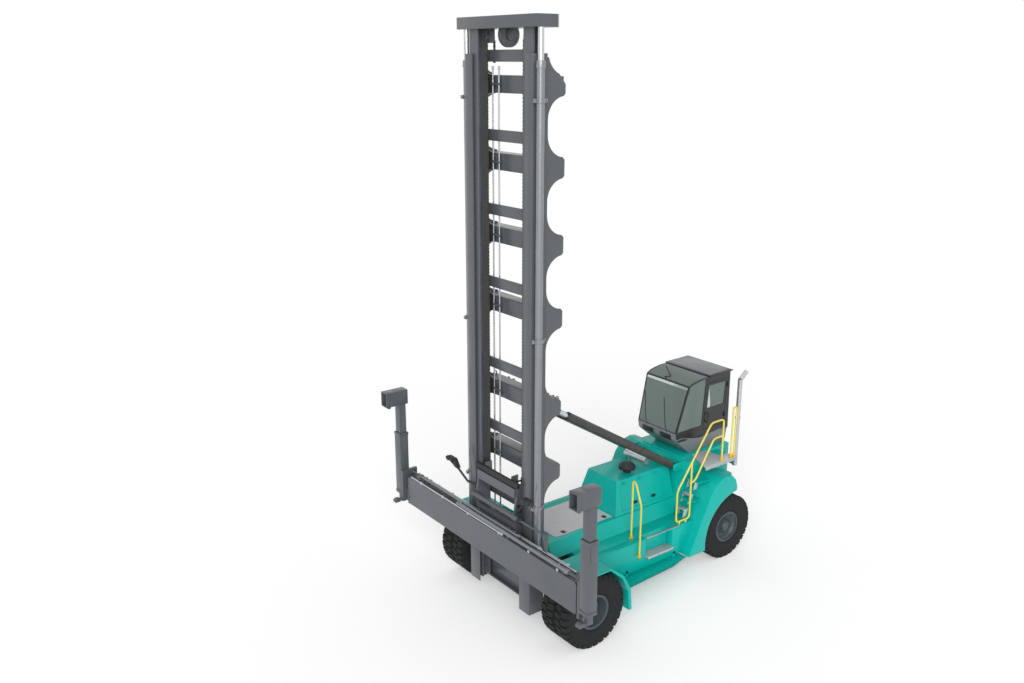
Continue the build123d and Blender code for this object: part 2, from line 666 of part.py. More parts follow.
window_cuts = (side_window, windscreen, roof_window, rear_window, far_window, far_front_window)
with BuildPart() as cab:
    add(cab_outer)
    add(cab_inner, mode=Mode.SUBTRACT)
    add(cab_door_cut, mode=Mode.SUBTRACT)
    for cut in window_cuts:
        add(cut, mode=Mode.SUBTRACT)
    for level in DOOR_HINGES:
        add(cab_hinge(level, level + 50, HINGE_BARREL))
        add(cab_hinge(level + 40, level + 100, HINGE_PIN))
        near = cab_half(level)
        add(block((near - 10, near + 24), (DOOR_Y[1] + 3, DOOR_Y[1] + 40), (level, level + 49)))
        add(block((near + 8, near + 26), (DOOR_Y[1] - 3, DOOR_Y[1] + 10), (level + 1, level + 48)))
save(cab, "cab_frame")
with BuildPart() as cab_door:
    add(cab_outer)
    add(cab_inner, mode=Mode.SUBTRACT)
    add(cab_door_fill, mode=Mode.INTERSECT)
    add(door_window, mode=Mode.SUBTRACT)
    for level in DOOR_HINGES:
        near = cab_half(level + 51)
        add(block((near - 10, near + 24), (DOOR_Y[1] - 50, DOOR_Y[1] - 9), (level + 51, level + 100)))
        add(block((near + 8, near + 26), (DOOR_Y[1] - 20, DOOR_Y[1] - 3), (level + 52, level + 99)))
        add(cab_hinge(level + 51, level + 100, HINGE_BARREL))
        add(cab_hinge(level + 40, level + 110, HINGE_PIN + RUNNING_GAP), mode=Mode.SUBTRACT)
save(cab_door, "cab_door")

GLASS = 8
with BuildPart() as pane_shell:
    add(cab_form(CAB_WALL / 2 - GLASS / 2))
    add(cab_form(CAB_WALL / 2 + GLASS / 2), mode=Mode.SUBTRACT)
with BuildPart() as glass:
    for cut in window_cuts:
        with BuildPart(mode=Mode.PRIVATE) as pane:
            add(pane_shell.part)
            add(cut, mode=Mode.INTERSECT)
        add(pane.part)
save(glass, "cab_windows")
with BuildPart() as door_glass:
    add(pane_shell.part)
    add(door_window, mode=Mode.INTERSECT)
save(door_glass, "cab_door_window")

with BuildPart() as cab_base:
    base_points = (
        (CAB_FRONT_FOOT_Y + 20, CAB_FLOOR),
        (4100, PLATFORM_TOP),
        (5120, PLATFORM_TOP),
        (5140, CAB_FLOOR),
    )
    add(side_slab(base_points, -520, 520))
save(cab_base, "cab_base")

with BuildPart() as station:
    floor = CAB_FLOOR + CAB_WALL
    seat_points = (
        (4420, floor + 400),
        (4420, floor + 520),
        (4800, floor + 500),
        (4880, floor + 1050),
        (4970, floor + 1030),
        (4900, floor + 380),
    )
    add(side_slab(seat_points, -250, 250))
    add(block((-180, 180), (4480, 4860), (floor, floor + 410)))

    add(block((-230, 230), (3800, 3960), (floor, floor + 480)))
    add(rod_between((0, 3900, floor + 440), (0, 4060, floor + 640), 25))
    wheel_plane = Plane(
        origin=(0, DRIVE_AXLE_Y + 4060, floor + 640), x_dir=(1, 0, 0), z_dir=(0, 160, 200)
    )
    with BuildSketch(wheel_plane):
        Circle(200)
    extrude(amount=25)
save(station, "operator_station")

# Handrails

RAIL_TUBE = 19


def rail_run(points, radius):
    """A bent tube through points given from the drive axle."""
    with BuildPart() as tube:
        with BuildLine() as route:
            FilletPolyline(*[(x, y + DRIVE_AXLE_Y, z) for x, y, z in points], radius=radius)
        start = route.line @ 0
        with BuildSketch(Plane(origin=start, z_dir=route.line % 0)):
            Circle(RAIL_TUBE)
        sweep()
    return tube.part


with BuildPart() as handrails:
    add(rail_run(((1040, 1820, RAIL_TOP), (1040, 1820, 2500), (1120, 1820, 2480), (1290, 1820, 2050), (1290, 1820, 950)), 38))
    add(rod_between((1200, 1820, 990), (1284, 1820, 990), RAIL_TUBE))
    add(
        rail_run(
            ((1200, 2935, RAIL_TOP), (1200, 2935, 2010), (1200, 3865, 3290), (1200, 4240, 3290), (1200, 4240, PLATFORM_TOP)),
            90,
        )
    )
    add(rod_between((1200, 3330, RAIL_TOP), (1200, 3330, 2560), RAIL_TUBE))
    add(rail_run(((1200, 3338, 2085), (1200, 3460, 2130), (1200, 3960, 2920), (1200, 4232, 2920)), 90))
    add(rail_run(((1200, 4525, PLATFORM_TOP), (1200, 4525, 3480), (1200, 4625, 3480), (1200, 4625, PLATFORM_TOP)), 45))
    add(block((1150, 1250), (1770, 1870), (RAIL_TOP - 300, RAIL_TOP)), mode=Mode.SUBTRACT)
save(handrails, "handrails")

# Outer mast

LOBES = ((9900, 10230), (8550, 8900), (7230, 7580), (5920, 6270), (4290, 4580), (3030, 3340))
LOBE_REAR_Y = 0
RECESS_Y = -330
plate_points = [(OUTER_REAR_Y, OUTER_TOP - 60), (-300, OUTER_TOP - 60), (-260, LOBES[0][1] + 90)]
for (low, high), (next_low, next_high) in zip(LOBES, LOBES[1:] + ((2000, 2100),)):
    plate_points += [(LOBE_REAR_Y - 40, high), (LOBE_REAR_Y, high - 60), (LOBE_REAR_Y, low + 60), (LOBE_REAR_Y - 40, low)]
    if next_low > 2500:
        plate_points += [(RECESS_Y, low - 330), (RECESS_Y, next_high + 330)]
plate_points += [(RECESS_Y, 2650), (RECESS_Y, 1100), (OUTER_REAR_Y, 1000)]

for hand, sign in SIDES:
    with BuildPart() as column:
        with BuildSketch(PLAN.offset(MAST_BOTTOM)):
            with BuildLine():
                Polyline(
                    (sign * OUTER_FLANGE_IN, OUTER_FRONT_Y),
                    (sign * OUTER_WEB_OUT, OUTER_FRONT_Y),
                    (sign * OUTER_WEB_OUT, OUTER_REAR_Y),
                    (sign * OUTER_FLANGE_IN, OUTER_REAR_Y),
                    (sign * OUTER_FLANGE_IN, OUTER_REAR_Y - OUTER_FLANGE),
                    (sign * OUTER_WEB_IN, OUTER_REAR_Y - OUTER_FLANGE),
                    (sign * OUTER_WEB_IN, OUTER_FRONT_Y + OUTER_FLANGE),
                    (sign * OUTER_FLANGE_IN, OUTER_FRONT_Y + OUTER_FLANGE),
                    close=True,
                )
            make_face()
        extrude(amount=OUTER_TOP - MAST_BOTTOM)
        add(side_slab(plate_points, sign * (OUTER_WEB_OUT - 30), sign * OUTER_WEB_OUT))
        tube_plane = Plane(origin=(sign * LIFT_X, DRIVE_AXLE_Y + LIFT_Y, 0), z_dir=(0, 0, 1))
        with BuildSketch(tube_plane.offset(LIFT_TUBE_BOTTOM)):
            Circle(LIFT_TUBE_RADIUS)
        extrude(amount=LIFT_TUBE_TOP - LIFT_TUBE_BOTTOM)
        with BuildSketch(tube_plane.offset(LIFT_TUBE_TOP - 120)):
            Circle(LIFT_TUBE_RADIUS + 12)
        extrude(amount=120)
        for level in (9450, 5700, 2600, LIFT_TUBE_BOTTOM - 60):
            with BuildSketch(tube_plane.offset(level)):
                Circle(LIFT_TUBE_RADIUS + 14)
                with Locations((-sign * 45, 0)):
                    Rectangle(80, 150)
            extrude(amount=80)
        with BuildSketch(tube_plane.offset(LIFT_TUBE_BOTTOM + 40)):
            Circle(LIFT_ROD_RADIUS + 5)
        extrude(amount=LIFT_TUBE_TOP - LIFT_TUBE_BOTTOM - 160, mode=Mode.SUBTRACT)
        with BuildSketch(tube_plane.offset(LIFT_TUBE_TOP - 120)):
            Circle(LIFT_ROD_RADIUS + RUNNING_GAP)
        extrude(amount=120, mode=Mode.SUBTRACT)
    save(column, f"outer_mast_column_{hand}")

with BuildPart() as outer_beams:
    beam_half = OUTER_WEB_OUT - 30
    for low, high in LOBES:
        middle = (low + high) / 2
        add(block((-beam_half, beam_half), (-290, -20), (middle - 150, middle + 150)))
    add(block((-beam_half, beam_half), (OUTER_REAR_Y, OUTER_REAR_Y + 40), (450, 780)))
    for sign in (1, -1):
        lug_points = ((-20, 4200), (60, 4200), (120, 4250), (120, 4400), (60, 4570), (-20, 4570))
        for inner in (TILT_X - 90, TILT_X + 66):
            add(side_slab(lug_points, sign * inner, sign * (inner + 24)))
        ear_points = ((OUTER_REAR_Y + 40, 500), (-205, 560), (-205, 680), (OUTER_REAR_Y + 40, 780))
        add(side_slab(ear_points, sign * (RAIL_OUTER_X + MOVING_GAP), sign * (RAIL_OUTER_X + 78)))
        pin_plane = Plane(origin=(0, DRIVE_AXLE_Y + PIVOT_Y, PIVOT_Z), z_dir=(sign, 0, 0))
        with BuildSketch(pin_plane.offset(RAIL_OUTER_X)):
            Circle(PIVOT_RADIUS + RUNNING_GAP)
        extrude(amount=200, mode=Mode.SUBTRACT)
        lug_plane = Plane(origin=(0, DRIVE_AXLE_Y + TILT_FRONT_Y, TILT_FRONT_Z), z_dir=(sign, 0, 0))
        with BuildSketch(lug_plane.offset(TILT_X - 100)):
            Circle(TILT_PIN_RADIUS)
        extrude(amount=200)
save(outer_beams, "outer_mast_crossbeams")

# Inner mast

for hand, sign in SIDES:
    with BuildPart() as column:
        with BuildSketch(PLAN.offset(INNER_BOTTOM)):
            web_middle = sign * (INNER_WEB_IN + INNER_WEB_OUT) / 2
            flange_middle = sign * (INNER_FLANGE_IN + INNER_FLANGE_OUT) / 2
            flange_width = INNER_FLANGE_OUT - INNER_FLANGE_IN
            with Locations((web_middle, (INNER_FRONT_Y + INNER_REAR_Y) / 2)):
                Rectangle(INNER_WEB_OUT - INNER_WEB_IN, INNER_REAR_Y - INNER_FRONT_Y)
            with Locations((flange_middle, INNER_FRONT_Y + INNER_FLANGE / 2), (flange_middle, INNER_REAR_Y - INNER_FLANGE / 2)):
                Rectangle(flange_width, INNER_FLANGE)
        extrude(amount=CAP_BOTTOM - INNER_BOTTOM)
    save(column, f"inner_mast_column_{hand}")

with BuildPart() as inner_beams:
    for middle in (10540, 9200, 7890, 6550, 4990, 3730, 2400, 1200):
        add(block((-720, 720), (INNER_REAR_Y, INNER_REAR_Y + 40), (middle - 100, middle + 100)))
    add(block((-75, 75), (INNER_REAR_Y - 1, INNER_REAR_Y + 41), (10470, 10641)), mode=Mode.SUBTRACT)
save(inner_beams, "inner_mast_crossbeams")

BIG_SHEAVE = (0, -460, 10735, 235)
CHAIN_SHEAVES = ((-450, -450, 10800, 110), (450, -450, 10800, 110))
CHAIN_Y = -560
CHAIN_BOTTOM = 3000
with BuildPart() as cap:
    with BuildSketch(PLAN.offset(CAP_BOTTOM)):
        with BuildLine():
            Polyline(
                (-CAP_HALF, CAP_FRONT_Y),
                (CAP_HALF, CAP_FRONT_Y),
                (CAP_HALF, CAP_REAR_Y - 120),
                (CAP_HALF - 120, CAP_REAR_Y),
                (-CAP_HALF + 120, CAP_REAR_Y),
                (-CAP_HALF, CAP_REAR_Y - 120),
                close=True,
            )
        make_face()
    extrude(amount=CAP_TOP - CAP_BOTTOM)
    for sheave_x, sheave_y, sheave_z, radius in (BIG_SHEAVE,) + CHAIN_SHEAVES:
        sheave_plane = Plane(origin=(sheave_x, DRIVE_AXLE_Y + sheave_y, sheave_z), z_dir=(1, 0, 0))
        with BuildSketch(sheave_plane.offset(-32)):
            Circle(radius)
        extrude(amount=64)
        with BuildSketch(sheave_plane.offset(-60)):
            Circle(30)
        extrude(amount=120)
        for side in (-60, 45):
            add(
                block(
                    (sheave_x + side, sheave_x + side + 15),
                    (sheave_y - 50, sheave_y + 50),
                    (sheave_z - 60, CAP_BOTTOM),
                )
            )
save(cap, "mast_cap")

for hand, sign in SIDES:
    with BuildPart() as lift_rod:
        add(rod_between((sign * LIFT_X, LIFT_Y, 1500), (sign * LIFT_X, LIFT_Y, CAP_BOTTOM), LIFT_ROD_RADIUS))
    save(lift_rod, f"lift_rod_{hand}")

with BuildPart() as chains:
    for chain_x, sheave_y, sheave_z, radius in CHAIN_SHEAVES:
        front_run = sheave_y - radius
        rear_run = sheave_y + radius
        add(block((chain_x - 25, chain_x + 25), (front_run - 20, front_run - 0.3), (CHAIN_BOTTOM, sheave_z)))
        add(block((chain_x - 25, chain_x + 25), (rear_run + 0.3, rear_run + 20), (10420, sheave_z)))
save(chains, "lift_chains")

# Carriage

CARRIAGE_TOP = 2950
with BuildPart() as carriage:
    roller_y = (INNER_FRONT_Y + INNER_REAR_Y) / 2
    roller_radius = (INNER_REAR_Y - INNER_FRONT_Y) / 2 - INNER_FLANGE - RUNNING_GAP
    for sign in (1, -1):
        upright = (
            (-790, 1380),
            (-790, 2500),
            (-720, CARRIAGE_TOP),
            (-480, CARRIAGE_TOP),
            (-480, 1380),
        )
        add(side_slab(upright, sign * 580, sign * 628))
        for roller_z in (1550, 2780):
            roller_plane = Plane(origin=(0, DRIVE_AXLE_Y + roller_y, roller_z), z_dir=(sign, 0, 0))
            with BuildSketch(roller_plane.offset(600)):
                Circle(roller_radius)
            extrude(amount=INNER_WEB_IN - 600 - MOVING_GAP)
    for level in (1450, 2000, 2700):
        add(block((-590, 590), (-790, -710), (level, level + 180)))
    add(block((-700, 700), (BEAM_REAR_Y + RUNNING_GAP, -760), (1440, 1540)))
    add(block((-700, 700), (BEAM_REAR_Y + RUNNING_GAP, -760), (1900, 2030)))
    for chain_x in (-450, 450):
        inner_side = chain_x + 25.3 if chain_x < 0 else chain_x - 45.3
        add(block((inner_side, inner_side + 20), (-720, CHAIN_Y - 6), (2780, CHAIN_BOTTOM + 60)))
    add(rod_between((-640, -850, 2370), (850, -850, 2370), 50))
    add(rod_between((-615, -850, 2370), (851, -850, 2370), 24.3), mode=Mode.SUBTRACT)
    for mount_x in (-628, 580):
        add(block((mount_x, mount_x + 48), (-815, -760), (2330, 2410)))
save(carriage, "carriage")

with BuildPart() as lamps:
    for sign in (1, -1):
        add(rod_between((sign * 665, -740, 2500), (sign * 1150, -960, 2880), 25))
        add(block((sign * 628, sign * 700), (-780, -700), (2430, 2560)))
        add(block((sign * 1090, sign * 1330), (-1040, -900), (2860, 2960)))
save(lamps, "work_lamps")

# Spreader

with BuildPart() as beam:
    with BuildSketch(SIDE.offset(-BEAM_HALF)):
        beam_middle = ((BEAM_FRONT_Y + BEAM_REAR_Y) / 2, (BEAM_TOP + BEAM_BOTTOM) / 2)
        with Locations(beam_middle):
            Rectangle(BEAM_REAR_Y - BEAM_FRONT_Y, BEAM_TOP - BEAM_BOTTOM)
            Rectangle(
                BEAM_REAR_Y - BEAM_FRONT_Y - 2 * BEAM_WALL, BEAM_TOP - BEAM_BOTTOM - 2 * BEAM_WALL, mode=Mode.SUBTRACT
            )
    extrude(amount=2 * BEAM_HALF)
    add(block((-BEAM_HALF, BEAM_HALF), (BEAM_FRONT_Y + BEAM_WALL, BEAM_REAR_Y - BEAM_WALL), (beam_middle[1] - 10, beam_middle[1] + 10)))
    add(block((1540, 1600), (-880, BEAM_REAR_Y), (BEAM_TOP, 2410)))
    add(rod_between((0, -850, 2370), (1540, -850, 2370), 24))
save(beam, "spreader_beam")

TELE_Z = BEAM_TOP + 62
TELE_ROWS = (("left", 1, -1035), ("right", -1, -935))
with BuildPart() as barrels:
    for hand, sign, tele_y in TELE_ROWS:
        barrel_plane = Plane(origin=(0, DRIVE_AXLE_Y + tele_y, TELE_Z), z_dir=(sign, 0, 0))
        with BuildSketch(barrel_plane.offset(-900)):
            Circle(38)
        extrude(amount=3300)
        with BuildSketch(barrel_plane.offset(2380)):
            Circle(44)
        extrude(amount=60)
        for mount_x in (-880, 700, 2300):
            add(block((sign * mount_x, sign * (mount_x + 60)), (tele_y - 25, tele_y + 25), (BEAM_TOP, TELE_Z - 30)))
        with BuildSketch(barrel_plane.offset(-870)):
            Circle(24)
        extrude(amount=3250, mode=Mode.SUBTRACT)
        with BuildSketch(barrel_plane.offset(2380)):
            Circle(22 + RUNNING_GAP)
        extrude(amount=60, mode=Mode.SUBTRACT)
save(barrels, "telescope_barrels")

slide_clear = RUNNING_GAP
for hand, sign in SIDES:
    low = beam_middle[1] + 10 if sign > 0 else BEAM_BOTTOM + BEAM_WALL
    high = BEAM_TOP - BEAM_WALL if sign > 0 else beam_middle[1] - 10
    with BuildPart() as slide:
        with BuildSketch(SIDE.offset(sign * LEG_IN_X)):
            with Locations((beam_middle[0], (low + high) / 2)):
                Rectangle(
                    BEAM_REAR_Y - BEAM_FRONT_Y - 2 * BEAM_WALL - 2 * slide_clear, high - low - 2 * slide_clear
                )
                Rectangle(
                    BEAM_REAR_Y - BEAM_FRONT_Y - 4 * BEAM_WALL, high - low - 2 * BEAM_WALL, mode=Mode.SUBTRACT
                )
        extrude(amount=-sign * 4350)
        add(block((sign * (LEG_IN_X - 60), sign * LEG_IN_X), (LEG_FRONT_Y, BEAM_REAR_Y), (LEG_BOTTOM + 60, BEAM_TOP + 110)))
        tele_y = dict((row[0], row[2]) for row in TELE_ROWS)[hand]
        barrel_plane = Plane(origin=(0, DRIVE_AXLE_Y + tele_y, TELE_Z), z_dir=(sign, 0, 0))
        with BuildSketch(barrel_plane.offset(-820)):
            Circle(22)
        extrude(amount=LEG_IN_X - 60 + 820)
    save(slide, f"telescopic_beam_{hand}")

    with BuildPart() as sleeve:
        with BuildSketch(PLAN.offset(LEG_BOTTOM)):
            sleeve_middle = (sign * (LEG_IN_X + LEG_OUT_X) / 2, (LEG_FRONT_Y + LEG_REAR_Y) / 2)
            with Locations(sleeve_middle):
                Rectangle(LEG_OUT_X - LEG_IN_X, LEG_REAR_Y - LEG_FRONT_Y)
                Rectangle(
                    LEG_OUT_X - LEG_IN_X - 2 * LEG_WALL, LEG_REAR_Y - LEG_FRONT_Y - 2 * LEG_WALL, mode=Mode.SUBTRACT
                )
        extrude(amount=LEG_SLEEVE_TOP - LEG_BOTTOM)
        with BuildSketch(PLAN.offset(LEG_BOTTOM)):
            with Locations(sleeve_middle):
                Rectangle(LEG_OUT_X - LEG_IN_X, LEG_REAR_Y - LEG_FRONT_Y)
        extrude(amount=40)
        add(block((sign * LEG_IN_X, sign * LEG_OUT_X), (LEG_FRONT_Y - 120, LEG_FRONT_Y), (LEG_BOTTOM, LEG_BOTTOM + 110)))
    save(sleeve, f"leg_sleeve_{hand}")

    with BuildPart() as head:
        with BuildSketch(PLAN.offset(LEG_BOTTOM + 400)):
            with Locations(sleeve_middle):
                Rectangle(
                    LEG_OUT_X - LEG_IN_X - 2 * LEG_WALL - 2 * RUNNING_GAP,
                    LEG_REAR_Y - LEG_FRONT_Y - 2 * LEG_WALL - 2 * RUNNING_GAP,
                )
        extrude(amount=HEAD_BOTTOM - LEG_BOTTOM - 400)
        add(block((sign * (LEG_IN_X + 10), sign * (LEG_OUT_X + 10)), (HEAD_FRONT_Y, HEAD_REAR_Y), (HEAD_BOTTOM, HEAD_TOP)))
        add(block((sign * (LEG_IN_X + 30), sign * (LEG_OUT_X - 10)), (HEAD_FRONT_Y - 10, HEAD_FRONT_Y + 200), (HEAD_BOTTOM + 25, HEAD_TOP - 25)), mode=Mode.SUBTRACT)
    save(head, f"leg_head_{hand}")

# Tilt cylinders

tilt_direction = Vector(0, TILT_FRONT_Y - TILT_REAR_Y, TILT_FRONT_Z - TILT_REAR_Z).normalized()
TILT_LENGTH = math.hypot(TILT_FRONT_Y - TILT_REAR_Y, TILT_FRONT_Z - TILT_REAR_Z)
BARREL_LENGTH = TILT_LENGTH - 480
for hand, sign in SIDES:
    rear = Vector(sign * TILT_X, DRIVE_AXLE_Y + TILT_REAR_Y, TILT_REAR_Z)
    tilt_plane = Plane(origin=rear, x_dir=(1, 0, 0), z_dir=tilt_direction)
    pin_plane = Plane(origin=rear, z_dir=(1, 0, 0))
    with BuildPart() as barrel:
        with BuildSketch(tilt_plane.offset(110)):
            Circle(TILT_BARREL_RADIUS)
        extrude(amount=BARREL_LENGTH - 110)
        with BuildSketch(pin_plane.offset(-55)):
            Circle(85)
        extrude(amount=110)
        with BuildSketch(tilt_plane):
            Rectangle(110, 130)
        extrude(amount=120)
        with BuildSketch(pin_plane.offset(-60)):
            Circle(TILT_PIN_RADIUS + RUNNING_GAP)
        extrude(amount=120, mode=Mode.SUBTRACT)
        with BuildSketch(tilt_plane.offset(BARREL_LENGTH - 900)):
            Circle(TILT_ROD_RADIUS + RUNNING_GAP)
        extrude(amount=900, mode=Mode.SUBTRACT)
    save(barrel, f"tilt_barrel_{hand}")
    eye_plane = Plane(
        origin=(sign * TILT_X, DRIVE_AXLE_Y + TILT_FRONT_Y, TILT_FRONT_Z), z_dir=(1, 0, 0)
    )
    with BuildPart() as rod:
        with BuildSketch(tilt_plane.offset(BARREL_LENGTH - 500)):
            Circle(TILT_ROD_RADIUS)
        extrude(amount=TILT_LENGTH - BARREL_LENGTH + 500 - 60)
        with BuildSketch(eye_plane.offset(-50)):
            Circle(62)
            Circle(TILT_PIN_RADIUS + 8, mode=Mode.SUBTRACT)
        extrude(amount=100)
    save(rod, f"tilt_rod_{hand}")
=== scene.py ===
"""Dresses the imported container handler: its finishes, its fine pieces, the studio and the camera."""
from __future__ import annotations

import json
import logging
import math
from collections.abc import Sequence
from dataclasses import dataclass, field
from enum import Enum

import bmesh
import bpy
from mathutils import Matrix, Vector

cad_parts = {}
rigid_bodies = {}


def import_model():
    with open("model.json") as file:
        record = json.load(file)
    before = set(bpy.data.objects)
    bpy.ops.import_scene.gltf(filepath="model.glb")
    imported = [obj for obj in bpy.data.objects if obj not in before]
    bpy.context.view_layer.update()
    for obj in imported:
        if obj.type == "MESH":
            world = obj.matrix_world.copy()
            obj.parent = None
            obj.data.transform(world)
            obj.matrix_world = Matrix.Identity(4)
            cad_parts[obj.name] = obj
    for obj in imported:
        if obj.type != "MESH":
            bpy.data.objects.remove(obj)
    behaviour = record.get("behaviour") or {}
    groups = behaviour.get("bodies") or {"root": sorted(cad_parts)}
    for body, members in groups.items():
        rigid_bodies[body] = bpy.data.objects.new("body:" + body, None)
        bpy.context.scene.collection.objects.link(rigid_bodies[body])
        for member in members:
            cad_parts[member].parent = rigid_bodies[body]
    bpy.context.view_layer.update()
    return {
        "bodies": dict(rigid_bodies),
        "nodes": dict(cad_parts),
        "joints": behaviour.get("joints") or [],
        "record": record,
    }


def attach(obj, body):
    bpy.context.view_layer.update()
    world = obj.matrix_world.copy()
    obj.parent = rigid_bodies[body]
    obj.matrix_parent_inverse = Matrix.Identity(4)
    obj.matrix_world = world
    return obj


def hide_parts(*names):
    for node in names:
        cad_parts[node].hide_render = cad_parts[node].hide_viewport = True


log = logging.getLogger("handler")
Point = tuple[float, float, float]
Outline = Sequence[tuple[float, float]]
Verts = list[bmesh.types.BMVert]
Faces = list[bmesh.types.BMFace]
Tree = bpy.types.NodeTree
Socket = bpy.types.NodeSocket

# The drive axle's place along Y, the height of both axles and the distance between them.
AXLE_Y = -1.930
AXLE_HEIGHT = 0.719
WHEELBASE = 4.559
X_AXIS, Y_AXIS, Z_AXIS = (Vector(row).freeze() for row in Matrix.Identity(3))
# Points nearer than this are one.
SAME_PLACE = 1e-4


def at(x: float, y: float, z: float) -> Vector:
    """A place whose length along the machine is measured from the drive axle, in metres."""
    return Vector((x, y + AXLE_Y, z))


class Hand(Enum):
    """The machine's two sides, with the sign of X on each."""

    LEFT = 1
    RIGHT = -1

    @property
    def word(self) -> str:
        """The side's name as the bodies and nodes spell it."""
        return self.name.lower()


# Finishes


def to_linear(code: str, alpha: float = 1.0) -> tuple[float, float, float, float]:
    """Turns an sRGB hex value such as "2AA89E" to linear RGBA."""
    parts = [int(code[i : i + 2], 16) / 255 for i in (0, 2, 4)]
    red, green, blue = (c / 12.92 if c <= 0.04045 else ((c + 0.055) / 1.055) ** 2.4 for c in parts)
    return (red, green, blue, alpha)


def add_node(
    tree: Tree,
    kind: str,
    settings: dict[str, object] | None = None,
    links: dict[str | int, Socket] | None = None,
) -> bpy.types.Node:
    """Adds one node.

    Args:
        tree: The material's node tree.
        kind: The node's type, without the ShaderNode in front.
        settings: Property values, and values for inputs named with a leading "in:".
        links: Input name or number to the socket that feeds it.

    Returns:
        The new node.
    """
    made = tree.nodes.new(f"ShaderNode{kind}")
    for key, value in (settings or {}).items():
        if key.startswith("in:"):
            name = key[3:]
            made.inputs[int(name) if name.isdigit() else name].default_value = value
        else:
            setattr(made, key, value)
    for socket, source in (links or {}).items():
        tree.links.new(source, made.inputs[socket])
    return made


def remap(
    tree: Tree, value: Socket, span: tuple[float, float] = (0.0, 1.0), to: tuple[float, float] = (0.0, 1.0)
) -> Socket:
    """Carries a value from one span to another."""
    ends = {"in:From Min": span[0], "in:From Max": span[1], "in:To Min": to[0], "in:To Max": to[1]}
    return add_node(tree, "MapRange", ends, {"Value": value}).outputs[0]


def noise(tree: Tree, place: Socket, size_mm: float, **inputs: float) -> Socket:
    """Cloudy noise with patches of a size, and other inputs by name."""
    settings = {"in:Scale": 1000 / size_mm} | {f"in:{name}": value for name, value in inputs.items()}
    return add_node(tree, "TexNoise", settings, {"Vector": place}).outputs["Fac"]


def empty_material(name: str) -> tuple[bpy.types.Material, Tree]:
    """A new material and its node tree, with nothing in it yet."""
    material = bpy.data.materials.new(name)
    material.use_nodes = True
    material.node_tree.nodes.clear()
    return material, material.node_tree


@dataclass(frozen=True)
class Finish:
    """A real material and how its surface was made.

    Attributes:
        name: The material's common name.
        slot: The record's material slot that it stands for.
        colour: Its sRGB hex colour.
        stain: The colour that dirt, wear or mottling brings, as sRGB hex.
        stain_share: How much of the stain shows where it is strongest.
        stain_mm: The size of the mottling's patches.
        grain_mm: The size of the surface's own grain or orange peel.
        grain_depth: The strength of that grain's bump.
        roughness: The mean roughness.
        roughness_swing: How far roughness varies with the mottling.
        metallic: 1 for bare metal.
        specular: The specular level.
        coat: The weight of a clear coat.
        edge_mm: The radius that the shader rounds sharp edges to, or 0.
    """

    name: str
    slot: str
    colour: str
    stain: str
    stain_share: float = 0.2
    stain_mm: float = 250.0
    grain_mm: float = 12.0
    grain_depth: float = 0.02
    roughness: float = 0.45
    roughness_swing: float = 0.1
    metallic: float = 0.0
    specular: float = 0.35
    coat: float = 0.0
    edge_mm: float = 5.0

    def pattern(self, tree: Tree, place: Socket) -> Socket:
        """The height that the bump follows: fine grain here, and a pressed pattern in some finishes."""
        return noise(tree, place, self.grain_mm, Detail=3.0)

    def shade(self, tree: Tree, colour: Socket, height: Socket) -> Socket:
        """A last change to the colour by the pattern's height; plain finishes make none."""
        return colour

    def build(self) -> bpy.types.Material:
        """Makes the Blender material.

        Returns:
            The material, with every pattern on Object coordinates.
        """
        material, tree = empty_material(self.name)
        place = add_node(tree, "TexCoord").outputs["Object"]
        patches = noise(tree, place, self.stain_mm, Detail=6.0, Roughness=0.62)
        spread = remap(tree, patches, (0.42, 0.75), (0.0, self.stain_share))
        mixed = add_node(tree, "Mix", {"data_type": "RGBA"}, {0: spread})
        mixed.inputs[6].default_value = to_linear(self.colour)
        mixed.inputs[7].default_value = to_linear(self.stain)
        dull = self.roughness - self.roughness_swing, self.roughness + self.roughness_swing
        rough = remap(tree, patches, (0.3, 0.7), (max(0.02, dull[0]), min(1.0, dull[1])))
        rounded = {}
        if self.edge_mm:
            edge = add_node(tree, "Bevel", {"samples": 4, "in:Radius": self.edge_mm / 1000})
            rounded = {"Normal": edge.outputs[0]}
        height = self.pattern(tree, place)
        relief = {"in:Strength": 0.6, "in:Distance": self.grain_depth * self.grain_mm / 1000}
        bump = add_node(tree, "Bump", relief, {"Height": height, **rounded})
        colour = self.shade(tree, mixed.outputs[2], height)
        shader = add_node(
            tree,
            "BsdfPrincipled",
            {
                "in:Metallic": self.metallic, "in:Specular IOR Level": self.specular,
                "in:Coat Weight": self.coat,
            },
            {"Base Color": colour, "Roughness": rough, "Normal": bump.outputs[0]},
        )
        add_node(tree, "OutputMaterial", {}, {"Surface": shader.outputs[0]})
        return material


@dataclass(frozen=True)
class PunchedSteel(Finish):
    """Steel sheet with rows of raised round holes, as on anti-slip treads, with painted shade in the holes.
    """

    pitch_mm: float = 34.0
    # The holes' colour is painted shade: the dark that would be seen through them.
    hole: str = "2C3032"

    def pattern(self, tree: Tree, place: Socket) -> Socket:
        """Round cells at the punch's pitch."""
        punch = {"in:Scale": 1000 / self.pitch_mm, "in:Randomness": 0.0}
        cells = add_node(tree, "TexVoronoi", punch, {"Vector": place})
        return remap(tree, cells.outputs["Distance"], (0.25, 0.42))

    def shade(self, tree: Tree, colour: Socket, height: Socket) -> Socket:
        """Paints shade into the holes: darkens them to stand for the shadow seen through them."""
        # Painted shade: the hole mask darkens the colour, as if shadow showed through the holes.
        dark = add_node(tree, "Mix", {"data_type": "RGBA"}, {0: height, 7: colour})
        dark.inputs[6].default_value = to_linear(self.hole)
        return dark.outputs[2]


